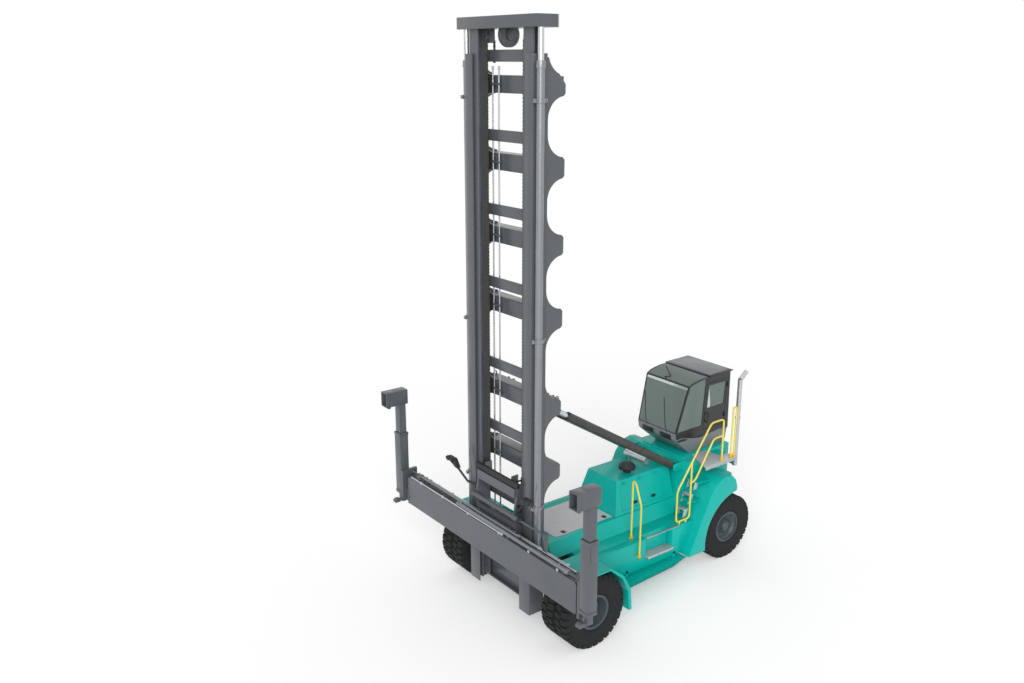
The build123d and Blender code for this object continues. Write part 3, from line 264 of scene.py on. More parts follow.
@dataclass(frozen=True)
class LeafChain(Finish):
    """Oiled steel plates, seen as close cross lines along the chain."""

    pitch_mm: float = 32.0
    bands_per_unit: float = 3.2

    def pattern(self, tree: Tree, place: Socket) -> Socket:
        """Bands across the chain's run."""
        bands = {"wave_type": "BANDS", "bands_direction": "Z", "in:Distortion": 0.0}
        bands["in:Scale"] = 1000 / self.pitch_mm / self.bands_per_unit
        return add_node(tree, "TexWave", bands, {"Vector": place}).outputs["Fac"]


@dataclass(frozen=True)
class Pane:
    """Tinted safety glass, seen through and reflecting.

    Attributes:
        name: The material's common name.
        slot: The record's material slot that it stands for.
        colour: The tint as sRGB hex.
        film: The colour of the dust and reflections on it.
        haze: How much of that shows where the pane is seen straight on.
    """

    name: str
    slot: str
    colour: str
    film: str = "C6D4D0"
    haze: float = 0.22

    def build(self) -> bpy.types.Material:
        """Makes a mix of clear pane and gloss with a faint film of dust."""
        material, tree = empty_material(self.name)
        place = add_node(tree, "TexCoord").outputs["Object"]
        dust = add_node(tree, "TexNoise", {"in:Scale": 3.0, "in:Detail": 5.0}, {"Vector": place})
        film = remap(tree, dust.outputs["Fac"], (0.4, 0.8), (0.03, 0.09))
        clear = add_node(tree, "BsdfTransparent", {"in:Color": to_linear(self.colour)})
        gloss = add_node(
            tree, "BsdfPrincipled", {"in:Base Color": to_linear(self.film)}, {"Roughness": film}
        )
        facing = add_node(tree, "Fresnel", {"in:IOR": 1.52})
        share = remap(tree, facing.outputs[0], to=(self.haze, 1.0))
        both = add_node(tree, "MixShader", {}, {0: share, 1: clear.outputs[0], 2: gloss.outputs[0]})
        add_node(tree, "OutputMaterial", {}, {"Surface": both.outputs[0]})
        return material


FINISHES: tuple[Finish | Pane, ...] = (
    # Two-pack enamel sprayed on steel plate: even turquoise, soft gloss, faint orange peel.
    Finish(
        "turquoise_enamel", "teal_paint", "05B6AB", "079C92", stain_share=0.25, stain_mm=900, grain_mm=9,
        grain_depth=0.03, roughness=0.34, roughness_swing=0.05, specular=0.22, coat=0.12,
    ),
    # The same enamel in dark grey on the mast and spreader, a little dusty.
    Finish(
        "grey_enamel", "mast_grey", "575B5F", "4A4E51", stain_share=0.4, stain_mm=700, grain_mm=9,
        grain_depth=0.03, roughness=0.3, roughness_swing=0.06, specular=0.45, coat=0.1,
    ),
    # Black chassis paint, brushed over rough plate.
    Finish(
        "chassis_paint", "chassis_black", "33373A", "25282A", stain_share=0.5, stain_mm=300, grain_mm=14,
        grain_depth=0.06, roughness=0.5, roughness_swing=0.1,
    ),
    # Natural rubber, moulded: dull near-black with pale dust.
    Finish(
        "tyre_rubber", "tyre_rubber", "232425", "3A3B3D", stain_share=0.35, stain_mm=160, grain_mm=8,
        grain_depth=0.08, roughness=0.78, roughness_swing=0.1, specular=0.2, edge_mm=6.0,
    ),
    # Grey enamel sprayed on a pressed steel rim.
    Finish(
        "rim_enamel", "rim_grey", "4A5257", "3B4246", stain_share=0.4, stain_mm=200, grain_mm=9,
        grain_depth=0.03, roughness=0.42, roughness_swing=0.1,
    ),
    # Hard chrome plated on ground steel rod.
    Finish(
        "hard_chrome", "chrome_rod", "C9CCCF", "B5B8BC", stain_share=0.3, stain_mm=300, grain_mm=5,
        grain_depth=0.01, roughness=0.2, roughness_swing=0.05, metallic=1.0, edge_mm=0.0,
    ),
    # Grey enamel sprayed on drawn tube, thin enough for the metal to show.
    Finish(
        "cylinder_enamel", "cylinder_grey", "85898C", "6C7073", stain_share=0.4, stain_mm=200, grain_mm=8,
        grain_depth=0.02, roughness=0.28, roughness_swing=0.06, metallic=0.6,
    ),
    # Stamped steel plates, pinned in stacks and brushed with chain oil.
    LeafChain(
        "oiled_leaf_chain", "chain_steel", "5A5644", "33312A", stain_share=0.7, stain_mm=60, grain_mm=32,
        grain_depth=0.25, roughness=0.45, roughness_swing=0.15, metallic=0.6, edge_mm=0.0,
    ),
    # Galvanised sheet with rows of punched, raised holes; the holes are painted dark as shade.
    PunchedSteel(
        "punched_tread_steel", "step_steel", "D2D8DA", "B6BEC2", stain_share=0.4, stain_mm=300, grain_mm=34,
        grain_depth=0.12, roughness=0.4, roughness_swing=0.1, metallic=0.25,
    ),
    # Yellow powder coat, baked on bent tube.
    Finish(
        "yellow_enamel", "rail_yellow", "EBDD62", "D2C14A", stain_share=0.3, stain_mm=200, grain_mm=8,
        grain_depth=0.02, roughness=0.38, roughness_swing=0.06, edge_mm=0.0,
    ),
    # Black two-pack enamel, polished, on the cab's welded frame.
    Finish(
        "cab_black_enamel", "cab_dark", "1C1E1F", "2A2C2E", stain_share=0.35, stain_mm=400, grain_mm=9,
        grain_depth=0.02, roughness=0.3, roughness_swing=0.06, coat=0.2,
    ),
    # ABS moulded in dark grey, with a fine grain.
    Finish(
        "moulded_abs", "cab_grey", "7E8285", "6C7073", stain_share=0.4, stain_mm=300, grain_mm=3,
        grain_depth=0.05, roughness=0.36, roughness_swing=0.06,
    ),
    # Toughened glass, tinted grey-green in the melt and bonded to the frame.
    Pane("tinted_glass", "cab_glass", "A4B8B3"),
    # Woven polyester over foam, sewn and dyed black.
    Finish(
        "seat_cloth", "seat_plastic", "1F2022", "2C2E30", stain_share=0.5, stain_mm=40, grain_mm=4,
        grain_depth=0.2, roughness=0.85, roughness_swing=0.05, edge_mm=10.0,
    ),
    # Cast iron, sand-rough and sooty.
    Finish(
        "engine_casting", "engine_iron", "3A3C3E", "2A2B2C", stain_share=0.6, stain_mm=90, grain_mm=10,
        grain_depth=0.12, roughness=0.6, roughness_swing=0.1,
    ),
    # Stainless tube, bent and left bare, brushed and slightly heat-stained.
    Finish(
        "stainless_tube", "exhaust_silver", "C3C6C9", "A9ACB0", stain_share=0.4, stain_mm=120, grain_mm=4,
        grain_depth=0.04, roughness=0.3, roughness_swing=0.1, metallic=0.85, edge_mm=0.0,
    ),
    # Black polypropylene and rubber mouldings with a matt skin.
    Finish(
        "black_moulding", "black_plastic", "26282A", "333537", stain_share=0.4, stain_mm=120, grain_mm=5,
        grain_depth=0.08, roughness=0.55, roughness_swing=0.08,
    ),
    # Tilt cylinders: dark enamel with a film of oil and soot.
    Finish(
        "oily_enamel", "mast_grey", "45423F", "2F2C2A", stain_share=0.6, stain_mm=120, grain_mm=9,
        grain_depth=0.04, roughness=0.34, roughness_swing=0.1,
    ),
    # Honed and lacquered cylinder tube, which mirrors the sky in long streaks.
    Finish(
        "ground_tube", "mast_grey", "8E9194", "7A7D80", stain_share=0.4, stain_mm=300, grain_mm=6,
        grain_depth=0.02, roughness=0.28, roughness_swing=0.06, metallic=0.55, edge_mm=0.0,
    ),
    # Pale grey enamel rolled on the service plate.
    Finish(
        "pale_enamel", "step_steel", "CDCED0", "B9BBBD", stain_share=0.4, stain_mm=300, grain_mm=9,
        grain_depth=0.03, roughness=0.45, roughness_swing=0.08,
    ),
    # Amber powder coat on the rails' cast sockets.
    Finish(
        "amber_enamel", "rail_yellow", "EBBE2C", "C99E22", stain_share=0.4, stain_mm=80, grain_mm=8,
        grain_depth=0.03, roughness=0.4, roughness_swing=0.06,
    ),
)
# Nodes with a finish of their own.
NODE_FINISHES = {"tilt_barrel_left": "oily_enamel", "tilt_barrel_right": "oily_enamel"}


@dataclass
class Paintshop:
    """Builds each finish once and gives it to nodes and pieces."""

    made: dict[str, bpy.types.Material] = field(default_factory=dict)

    def material(self, slot: str, name: str | None = None) -> bpy.types.Material:
        """A finish by its name, or the usual one of a record slot."""
        finish = next(f for f in FINISHES if (f.name == name if name else f.slot == slot))
        if finish.name not in self.made:
            self.made[finish.name] = finish.build()
        return self.made[finish.name]

    def dress_nodes(self, frame: dict) -> None:
        """Gives every CAD node the finish of its record slot, or its own."""
        for part in frame["record"]["subparts"]:
            node = frame["nodes"][part["node"]]
            for place in node.material_slots:
                place.material = self.material(part["material_slot"], NODE_FINISHES.get(part["node"]))
        log.info("dressed %d nodes", len(frame["nodes"]))


# The bench


@dataclass
class Bench:
    """A workpiece in bmesh: operators shape it, and done() makes it a finished piece.

    Attributes:
        shop: Where its finish comes from.
        sign: 1, or -1 where every X given is mirrored.
        mesh: The workpiece.
    """

    shop: Paintshop
    sign: int = 1
    mesh: bmesh.types.BMesh = field(default_factory=bmesh.new)

    def on(self, hand: Hand) -> Bench:
        """The same workpiece, worked on from one side of the machine."""
        return Bench(self.shop, hand.value, self.mesh)

    def spot(self, place: Point | Vector) -> Vector:
        """A point given towards this bench's side, or a vector as it is."""
        return place if isinstance(place, Vector) else at(self.sign * place[0], *place[1:])

    def box(self, low: Point, high: Point, turn: Matrix | None = None) -> Verts:
        """Adds a block between two corners, turned about its middle if asked, and returns its vertices."""
        ends = self.spot(low), self.spot(high)
        verts = bmesh.ops.create_cube(self.mesh, size=1.0)["verts"]
        bmesh.ops.scale(self.mesh, vec=[max(pair) - min(pair) for pair in zip(*ends)], verts=verts)
        if turn is not None:
            bmesh.ops.transform(self.mesh, matrix=turn.to_4x4(), verts=verts)
        bmesh.ops.translate(self.mesh, vec=(ends[0] + ends[1]) / 2, verts=verts)
        return verts

    def rod(self, start: Point | Vector, end: Point | Vector, radius: float, sides: int = 20) -> Verts:
        """Adds a round bar between two points, and returns its vertices."""
        start, end = self.spot(start), self.spot(end)
        along = end - start
        verts = bmesh.ops.create_cone(
            self.mesh, cap_ends=True, segments=sides, radius1=radius, radius2=radius, depth=along.length
        )["verts"]
        turn = along.to_track_quat("Z", "Y").to_matrix().to_4x4()
        bmesh.ops.transform(self.mesh, matrix=Matrix.Translation((start + end) / 2) @ turn, verts=verts)
        return verts

    def turned(
        self, outline: Outline, centre: Point | Vector, axis: Vector = Z_AXIS, steps: int = 48
    ) -> None:
        """Spins an outline of (distance along the axis, radius) pairs about an axis."""
        centre = self.spot(centre)
        across = axis.orthogonal().normalized()
        ring = [self.mesh.verts.new(centre + axis * along + across * radius) for along, radius in outline]
        edges = [self.mesh.edges.new(pair) for pair in zip(ring, ring[1:])]
        bmesh.ops.spin(
            self.mesh, geom=ring + edges, cent=centre, axis=axis, angle=2 * math.pi, steps=steps,
            use_merge=True,
        )

    def hoop(self, centre: Vector, axis: Vector, radius: float, bar: float, steps: int) -> None:
        """Adds a ring of round bar."""
        turns = [math.pi / 4 * i for i in range(9)]
        self.turned([(bar * math.cos(t), radius + bar * math.sin(t)) for t in turns], centre, axis, steps)

    def pipe(self, points: Sequence[Point], radius: float, bend: float, steps: int = 6) -> None:
        """Adds a bent tube through points, with every corner rounded."""
        points = [self.spot(point) for point in points]
        route = [points[0]]
        for before, corner, after in zip(points, points[1:], points[2:]):
            start = corner + (before - corner).normalized() * bend
            end = corner + (after - corner).normalized() * bend
            for step in range(steps + 1):
                share = step / steps
                route.append(start.lerp(corner, share).lerp(corner.lerp(end, share), share))
        route.append(points[-1])
        for start, end in zip(route, route[1:]):
            if (end - start).length > SAME_PLACE:
                self.rod(start, end, radius, 16)

    def slab(self, outline: Sequence[Vector], depth: Vector) -> Verts:
        """Extrudes a flat outline by a depth, and returns its vertices."""
        face = self.mesh.faces.new([self.mesh.verts.new(p) for p in outline])
        raised = bmesh.ops.extrude_face_region(self.mesh, geom=[face], use_keep_orig=True)
        top = [g for g in raised["geom"] if isinstance(g, bmesh.types.BMVert)]
        bmesh.ops.translate(self.mesh, vec=depth, verts=top)
        return list(face.verts) + top

    def side(self, outline: Outline, x_from: float, x_to: float) -> Verts:
        """A slab with a (y, z) outline between two places along X."""
        depth = Vector((self.sign * (x_to - x_from), 0, 0))
        return self.slab([self.spot((x_from, y, z)) for y, z in outline], depth)

    def plan(self, outline: Outline, z_from: float, z_to: float) -> Verts:
        """A slab with an (x, y) outline between two heights."""
        return self.slab([self.spot((x, y, z_from)) for x, y in outline], Vector((0, 0, z_to - z_from)))

    def front(self, outline: Outline, y_from: float, y_to: float) -> Verts:
        """A slab with an (x, z) outline between two places along Y."""
        return self.slab([self.spot((x, y_from, z)) for x, z in outline], Vector((0, y_to - y_from, 0)))

    def repeat(self, verts: Verts, count: int, centre: Point | Vector, axis: Vector) -> None:
        """Copies a shape evenly round an axis."""
        faces = list({f for v in verts for f in v.link_faces})
        bmesh.ops.spin(
            self.mesh, geom=list(verts) + list({e for f in faces for e in f.edges}) + faces,
            cent=self.spot(centre), axis=axis, angle=2 * math.pi * (count - 1) / count, steps=count - 1,
            use_duplicate=True,
        )

    def soften(self, width: float, segments: int = 2, angle: float = 0.6) -> None:
        """Rounds every edge sharper than an angle."""
        sharp = [e for e in self.mesh.edges if len(e.link_faces) == 2 and e.calc_face_angle(0) > angle]
        bmesh.ops.bevel(
            self.mesh, geom=sharp, offset=width, offset_type="OFFSET", segments=segments, profile=0.5,
            affect="EDGES", material=-1, clamp_overlap=True,
        )

    def done(
        self, name: str, body: str, slot: str, smooth: float = 0.7, finish: str | None = None
    ) -> bpy.types.Object:
        """Turns the workpiece to a piece that rides on a body.

        Args:
            name: The piece's name.
            body: The body it moves with.
            slot: The record slot of its finish.
            smooth: The angle, in radians, up to which faces shade smoothly.
            finish: A finish by name, where it isn't the slot's usual one.

        Returns:
            The new object, at the origin.
        """
        bmesh.ops.remove_doubles(self.mesh, verts=self.mesh.verts, dist=1e-5)
        bmesh.ops.recalc_face_normals(self.mesh, faces=self.mesh.faces)
        for edge in self.mesh.edges:
            edge.smooth = len(edge.link_faces) == 2 and edge.calc_face_angle(0) < smooth
        for face in self.mesh.faces:
            face.smooth = True
        data = bpy.data.meshes.new(name)
        self.mesh.to_mesh(data)
        self.mesh.free()
        piece = bpy.data.objects.new(name, data)
        bpy.context.scene.collection.objects.link(piece)
        data.materials.append(self.shop.material(slot, finish))
        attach(piece, body)
        log.info("made %s: %d faces", name, len(data.polygons))
        return piece


def arc(
    centre: tuple[float, float], radii: tuple[float, float], start: float, end: float, steps: int = 9
) -> list[tuple[float, float]]:
    """Points on an ellipse between two angles in degrees."""
    turns = [math.radians(start + (end - start) * i / steps) for i in range(steps + 1)]
    return [(centre[0] + radii[0] * math.cos(t), centre[1] + radii[1] * math.sin(t)) for t in turns]


@dataclass
class Assembly:
    """A group of pieces with the shop that finishes them."""

    shop: Paintshop

    def bench(self, hand: Hand | None = None) -> Bench:
        """An empty bench, for one side if asked."""
        return Bench(self.shop, hand.value if hand else 1)


# Wheels


@dataclass(frozen=True)
class Hub:
    """One kind of wheel, its place and what is bolted to it.

    Attributes:
        row: The first word of its pieces' names.
        node: The node of its plain tyres, without the side.
        body: The body that turns with it, without the side.
        places: (x, y) of its tyres, the outer one first.
        outlines: The turned outlines of its rings and its cap.
        nuts: The nuts' pitch radius, and their seat along the axle.
    """

    row: str
    node: str
    body: str
    places: Outline
    outlines: tuple[Outline, ...]
    nuts: tuple[float, float]


HUBS = (
    Hub(
        "drive", "front_tyres", "drive_wheels", ((1.855, 0.0), (1.476, 0.0)),
        (
            (
                (-0.104, 0.170), (-0.100, 0.262), (-0.060, 0.285), (0.060, 0.292), (0.128, 0.297),
                (0.140, 0.330), (0.150, 0.338), (0.156, 0.330), (0.150, 0.314), (0.146, 0.296),
                (0.070, 0.283), (-0.050, 0.276), (-0.088, 0.252), (-0.092, 0.240), (-0.094, 0.170),
            ),
            ((0.028, 0.0), (0.040, 0.060), (0.036, 0.110), (0.018, 0.130), (0.018, 0.172), (0.004, 0.186)),
        ),
        (0.215, -0.105),
    ),
    Hub(
        "steer", "rear_tyre", "steer_wheel", ((1.052, WHEELBASE),),
        (
            (
                (0.061, 0.132), (0.064, 0.200), (0.074, 0.214), (0.064, 0.226), (0.062, 0.262),
                (0.110, 0.292), (0.140, 0.330), (0.150, 0.338), (0.156, 0.330), (0.150, 0.310),
            ),
            ((0.112, 0.0), (0.128, 0.050), (0.122, 0.090), (0.110, 0.100), (0.110, 0.126), (0.080, 0.134)),
        ),
        (0.165, 0.060),
    ),
)


@dataclass
class Wheels(Assembly):
    """Tyres with their lugs, the dished rims and what is bolted to them."""

    radius: float = AXLE_HEIGHT
    tread: float = AXLE_HEIGHT - 0.032
    lugs: int = 30
    lug_share: float = 0.36
    slant: float = 0.18
    nut_count: int = 20

    def lug_row(self, bench: Bench, side: int, turn: float, centre: Vector) -> None:
        """One row of slanted shoulder lugs, copied round the tyre."""
        half = self.lug_share * math.pi * 2 * self.radius / self.lugs
        outline = (
            (0.170, 0.592), (0.1715, 0.655), (0.146, self.radius), (0.010, self.radius),
            (0.010, self.tread - 0.02), (0.130, self.tread - 0.04),
        )
        verts = bench.slab([Vector((side * x, -half, z)) for x, z in outline], Vector((0, 2 * half, 0)))
        for vert in verts:
            vert.co.y += self.slant * abs(vert.co.x)
        turned = Matrix.Translation(centre) @ Matrix.Rotation(turn, 4, "X")
        bmesh.ops.transform(bench.mesh, matrix=turned, verts=verts)
        bench.repeat(verts, self.lugs, centre, X_AXIS)

    def tyres(self, hub: Hub, hand: Hand) -> None:
        """A hub's tyres: turned carcasses with sidewall ribs, each with two staggered rows of lugs."""
        bench = self.bench(hand)
        half_outline = (
            (0.050, self.tread + 0.004), (0.140, self.tread), (0.160, 0.650), (0.168, 0.610),
            (0.1715, 0.560), (0.1685, 0.545), (0.170, 0.500), (0.1665, 0.486), (0.168, 0.470),
            (0.166, 0.440), (0.168, 0.428), (0.162, 0.410), (0.146, 0.372), (0.131, 0.350),
            (0.130, 0.320),
        )
        outline = [(-x, r) for x, r in reversed(half_outline)] + list(half_outline)
        for x, y in hub.places:
            centre = bench.spot((x, y, AXLE_HEIGHT))
            bench.turned(outline, centre, X_AXIS, 3 * self.lugs)
            for row, side in enumerate((-1, 1)):
                self.lug_row(bench, side, row * math.pi / self.lugs, centre)
        piece = bench.done(f"{hub.row}_tyres_{hand.word}", f"{hand.word}_{hub.body}", "tyre_rubber", 0.55)
        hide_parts(f"{hub.node}_{hand.word}")

    def rings(self, hub: Hub, hand: Hand) -> None:
        """The lock rings, the dish and the hub cap of the outer wheel."""
        bench = self.bench(hand)
        for outline in hub.outlines:
            bench.turned(outline, (*hub.places[0], AXLE_HEIGHT), Vector((hand.value, 0, 0)), 56)
        bench.done(f"{hub.row}_wheel_rings_{hand.word}", f"{hand.word}_{hub.body}", "rim_grey")

    def nuts(self, hub: Hub, hand: Hand) -> None:
        """Wheel nuts with their studs round a hub."""
        bench = self.bench(hand)
        axis = Vector((hand.value, 0, 0))
        pitch, seat = hub.nuts
        centre = bench.spot((*hub.places[0], AXLE_HEIGHT))
        start = centre + axis * seat + Vector((0, 0, pitch))
        nut = bench.rod(start - axis * 0.004, start + axis * 0.032, 0.017, 6)
        stud = bench.rod(start + axis * 0.02, start + axis * 0.048, 0.009, 10)
        bench.repeat(nut + stud, self.nut_count, centre, X_AXIS)
        bench.done(f"{hub.row}_wheel_nuts_{hand.word}", f"{hand.word}_{hub.body}", "rim_grey")

    def build(self) -> None:
        """Dresses both sides."""
        for hand in Hand:
            for make in (self.tyres, self.rings, self.nuts):
                for hub in HUBS:
                    make(hub, hand)


# Mast


@dataclass
class Mast(Assembly):
    """The outer mast with its scalloped plates, the cap, the chains and the pipes."""

    bottom: float = 0.390
    top: float = 10.576
    rear_y: float = -0.390
    bite: float = 0.370
    lobe_corner: float = 0.040
    top_corner: float = 0.140
    # The middle and the height of each lobe of the rear plates; a cross member ends at each.
    lobes: Outline = (
        (10.065, 0.33), (8.725, 0.35), (7.405, 0.35), (6.095, 0.35), (4.435, 0.29), (3.185, 0.31)
    )
    beam_half: float = 0.925
    column_out: float = 0.955
    inner_levels: tuple[float, ...] = (10.540, 9.200, 7.890, 6.550, 4.990, 3.730, 2.400, 1.200)
    lift_x: float = 1.038
    lift_y: float = -0.600
    tube_bottom: float = 1.360
    tube_top: float = 10.466
    tilt_x: float = 0.600
    tilt_y: float = 0.050
    tilt_z: float = 4.290
    sheave_y: float = -0.460
    chain_x: float = 0.520
    chain_top: float = 10.840
    chain_pitch: float = 0.064
    cap_bottom: float = 10.976
    cap_top: float = 11.176

    def lobe_outline(self) -> list[tuple[float, float]]:
        """The rear plate's edge: flat lobes between round bites, from the top down."""
        bite = (self.bite, self.bite)
        points = [(self.rear_y, self.top - 0.060)] + arc((0, self.top + 0.024), bite, 193, 248)
        for number, (middle, height) in enumerate(self.lobes):
            corner = self.lobe_corner if number else self.top_corner
            foot = middle - height / 2
            points += [(0, middle + height / 2 - corner), (0, foot + self.lobe_corner)]
            points += arc((0, foot - self.bite), bite, 96, 180)
            if number + 1 < len(self.lobes):
                below, tall = self.lobes[number + 1]
                points += arc((0, below + tall / 2 + self.bite), bite, 180, 264)
        return points + [(-self.bite, 1.0), (self.rear_y, 1.0)]

    def column(self, hand: Hand) -> None:
        """One outer column: channel, scalloped plate and foot plate."""
        bench = self.bench(hand)
        section = (
            (0.760, -0.700), (self.column_out, -0.700), (self.column_out, self.rear_y),
            (0.760, self.rear_y), (0.760, -0.430), (0.905, -0.430), (0.905, -0.660), (0.760, -0.660),
        )
        bench.plan(section, self.bottom, self.top)
        bench.side(self.lobe_outline(), self.beam_half, self.column_out)
        bench.box((0.640, -0.712, 0.392), (0.957, -0.698, 1.350))
        bench.soften(0.006, 2, 1.0)
        piece = bench.done(f"outer_column_{hand.word}", "outer_mast", "mast_grey", 0.6)
        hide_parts(f"outer_mast_column_{hand.word}")

    def lift_tube(self, hand: Hand) -> None:
        """A lift cylinder's tube with its collar and clamps."""
        bench = self.bench(hand)
        reach = self.tube_top - self.tube_bottom
        outline = (
            (0, 0.057), (0, 0.068), (reach - 0.120, 0.068), (reach - 0.120, 0.078), (reach - 0.08, 0.080),
            (reach - 0.05, 0.076), (reach - 0.012, 0.076), (reach, 0.068), (reach, 0.053), (0, 0.057),
        )
        bench.turned(outline, (self.lift_x, self.lift_y, self.tube_bottom), steps=32)
        for level in (9.806, 5.766, 2.600):
            self.clamp(bench, level)
        bench.done(f"lift_tube_{hand.word}", "outer_mast", "mast_grey", 0.6, "ground_tube")

    def clamp(self, bench: Bench, level: float) -> None:
        """A two-part clamp round the lift tube, with its ears and bolts."""
        x, y = self.lift_x, self.lift_y
        band = (
            (0, 0.069), (0, 0.084), (0.006, 0.090), (0.064, 0.090), (0.070, 0.084), (0.070, 0.069),
            (0, 0.069),
        )
        bench.turned(band, (x, y, level), steps=24)
        bench.box((self.column_out, y - 0.065, level + 0.010), (x, y + 0.065, level + 0.060))
        for ear in (y - 0.105, y + 0.105):
            bench.box((x - 0.026, ear - 0.026, level + 0.004), (x + 0.026, ear + 0.026, level + 0.066))
            bench.rod((x - 0.045, ear, level + 0.035), (x + 0.045, ear, level + 0.035), 0.012, 6)

    def crossbeams(self) -> None:
        """The outer cross members with their gussets, lugs, ears and pins."""
        bench = self.bench()
        half = self.beam_half
        corners = (
            (-0.625, -0.25, 180, 90), (0.625, -0.25, 90, 0), (0.625, 0.25, 360, 270),
            (-0.625, 0.25, 270, 180),
        )
        for middle, _ in self.lobes:
            bench.box((-half, -0.290, middle - 0.15), (half, -0.020, middle + 0.15))
            gusset = []
            for x, z, start, end in corners:
                gusset += arc((x, middle + z), (0.30, 0.10), start, end, 7)
            bench.front(gusset, -0.294, -0.262)
        bench.box((-half, self.rear_y, 0.450), (half, -0.350, 0.780))
        bench.box((-half, self.rear_y, 0.780), (half, -0.325, 0.800))
        bench.box((-half, -0.480, 0.450), (half, -0.385, 0.475))
        lug = (
            (-0.07, -0.09), (0.01, -0.09), (0.055, -0.065), (0.07, -0.04), (0.07, 0.11), (0.01, 0.28),
            (-0.07, 0.28),
        )
        lug = [(self.tilt_y + y, self.tilt_z + z) for y, z in lug]
        ear = ((-0.350, 0.500), (-0.205, 0.560), (-0.205, 0.680), (-0.350, 0.780))
        for near in map(bench.on, Hand):
            for inner in (self.tilt_x - 0.090, self.tilt_x + 0.066):
                near.side(lug, inner, inner + 0.024)
            near.side(ear, 0.608, 0.678)
        bench.soften(0.006, 2, 1.0)
        for near in map(bench.on, Hand):
            ends = [near.spot((self.tilt_x + out, self.tilt_y, self.tilt_z)) for out in (-0.1, 0.1)]
            bench.rod(*ends, 0.035, 24)
            for end, way in zip(ends, (-1, 1)):
                bench.rod(end, end + Vector((near.sign * way * 0.012, 0, 0)), 0.052, 24)
        piece = bench.done("outer_crossbeams", "outer_mast", "mast_grey", 0.6)
        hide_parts("outer_mast_crossbeams")

    def inner_beams(self) -> None:
        """The inner mast's cross members."""
        bench = self.bench()
        for middle in self.inner_levels:
            bench.box((-0.72, -0.445, middle - 0.1), (0.72, -0.405, middle + 0.1))
        bench.soften(0.005, 2, 1.0)
        piece = bench.done("inner_crossbeams", "inner_mast", "mast_grey", 0.6)
        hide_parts("inner_mast_crossbeams")

    def pipes(self) -> None:
        """Two hydraulic pipes down the outer crossbeams, with their clips, and the lifting eyes."""
        bench = self.bench()
        pipe_y = -0.335
        for x in (-0.63, -0.45):
            bench.rod((x, pipe_y, 0.85), (x, pipe_y, 10.36), 0.016, 16)
            bench.rod((x, pipe_y, 10.30), (x, pipe_y, 10.37), 0.025, 6)
        bench.done("mast_pipes", "outer_mast", "exhaust_silver")
        bench = self.bench()
        for middle, _ in self.lobes:
            bench.box((-0.67, -0.362, middle - 0.02), (-0.41, -0.290, middle + 0.02))
        bench.soften(0.005)
        bench.done("pipe_clips", "outer_mast", "mast_grey")
        for hand in Hand:
            bench = self.bench(hand)
            bench.hoop(bench.spot((0.940, -0.090, 4.610)), X_AXIS, 0.034, 0.012, 24)
            bench.done(f"lifting_eye_{hand.word}", "outer_mast", "mast_grey")

    def cap(self) -> None:
        """The cap on the inner mast with its grooved sheaves between their cheeks."""
        bench = self.bench()
        front, rear, corner = -0.763, -0.192, 0.120
        outline = (
            (-1.109, front), (1.109, front), (1.109, rear - corner), (0.989, rear), (-0.989, rear),
            (-1.109, rear - corner),
        )
        bench.plan(outline, self.cap_bottom, self.cap_top)
        y = self.sheave_y
        sheaves = (
            (0, 10.876, 0.205), (-self.chain_x, self.chain_top, 0.072),
            (self.chain_x, self.chain_top, 0.072),
        )
        for x, z, _ in sheaves:
            cheek = arc((y, z - 0.040), (0.055, 0.055), 180, 360, 8)
            cheek += [(y + 0.055, 10.98), (y - 0.055, 10.98)]
            for side in (-0.055, 0.040):
                bench.side(cheek, x + side, x + side + 0.015)
        bench.soften(0.008, 2, 1.0)
        for x, z, radius in sheaves:
            half_groove = (
                (0.022, radius * 0.90), (0.026, radius), (0.032, radius), (0.032, radius * 0.84),
                (0.020, radius * 0.78), (0.020, 0.05), (0.034, 0.046), (0.040, 0.040), (0.034, 0.0),
            )
            groove = [(-along, r) for along, r in reversed(half_groove)] + list(half_groove)
            bench.turned(groove, (x, y, z), X_AXIS)
            bench.rod((x - 0.058, y, z), (x + 0.058, y, z), 0.026)
        piece = bench.done("sheave_cap", "inner_mast", "mast_grey", 0.6)
        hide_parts("mast_cap")

    def chains(self) -> None:
        """Leaf chains: thick and thin stacks of plates in turn, down to the carriage."""
        bench = self.bench()
        pitch = self.chain_pitch
        for x in (-self.chain_x, self.chain_x):
            for y, low in ((-0.540, 3.0), (-0.380, 10.42)):
                for link in range(int((self.chain_top - low) / pitch)):
                    z = low + link * pitch
                    bench.box((x - 0.024, y - 0.010, z), (x + 0.024, y + 0.010, z + pitch * 0.62))
                    bench.box((x - 0.017, y - 0.009, z + pitch * 0.62), (x + 0.017, y + 0.009, z + pitch))
        piece = bench.done("leaf_chains", "inner_mast", "chain_steel", 0.3)
        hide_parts("lift_chains")

    def build(self) -> None:
        """Builds the mast's pieces."""
        for hand in Hand:
            self.column(hand)
            self.lift_tube(hand)
        self.crossbeams()
        self.inner_beams()
        self.pipes()
        self.cap()
        self.chains()


# Body


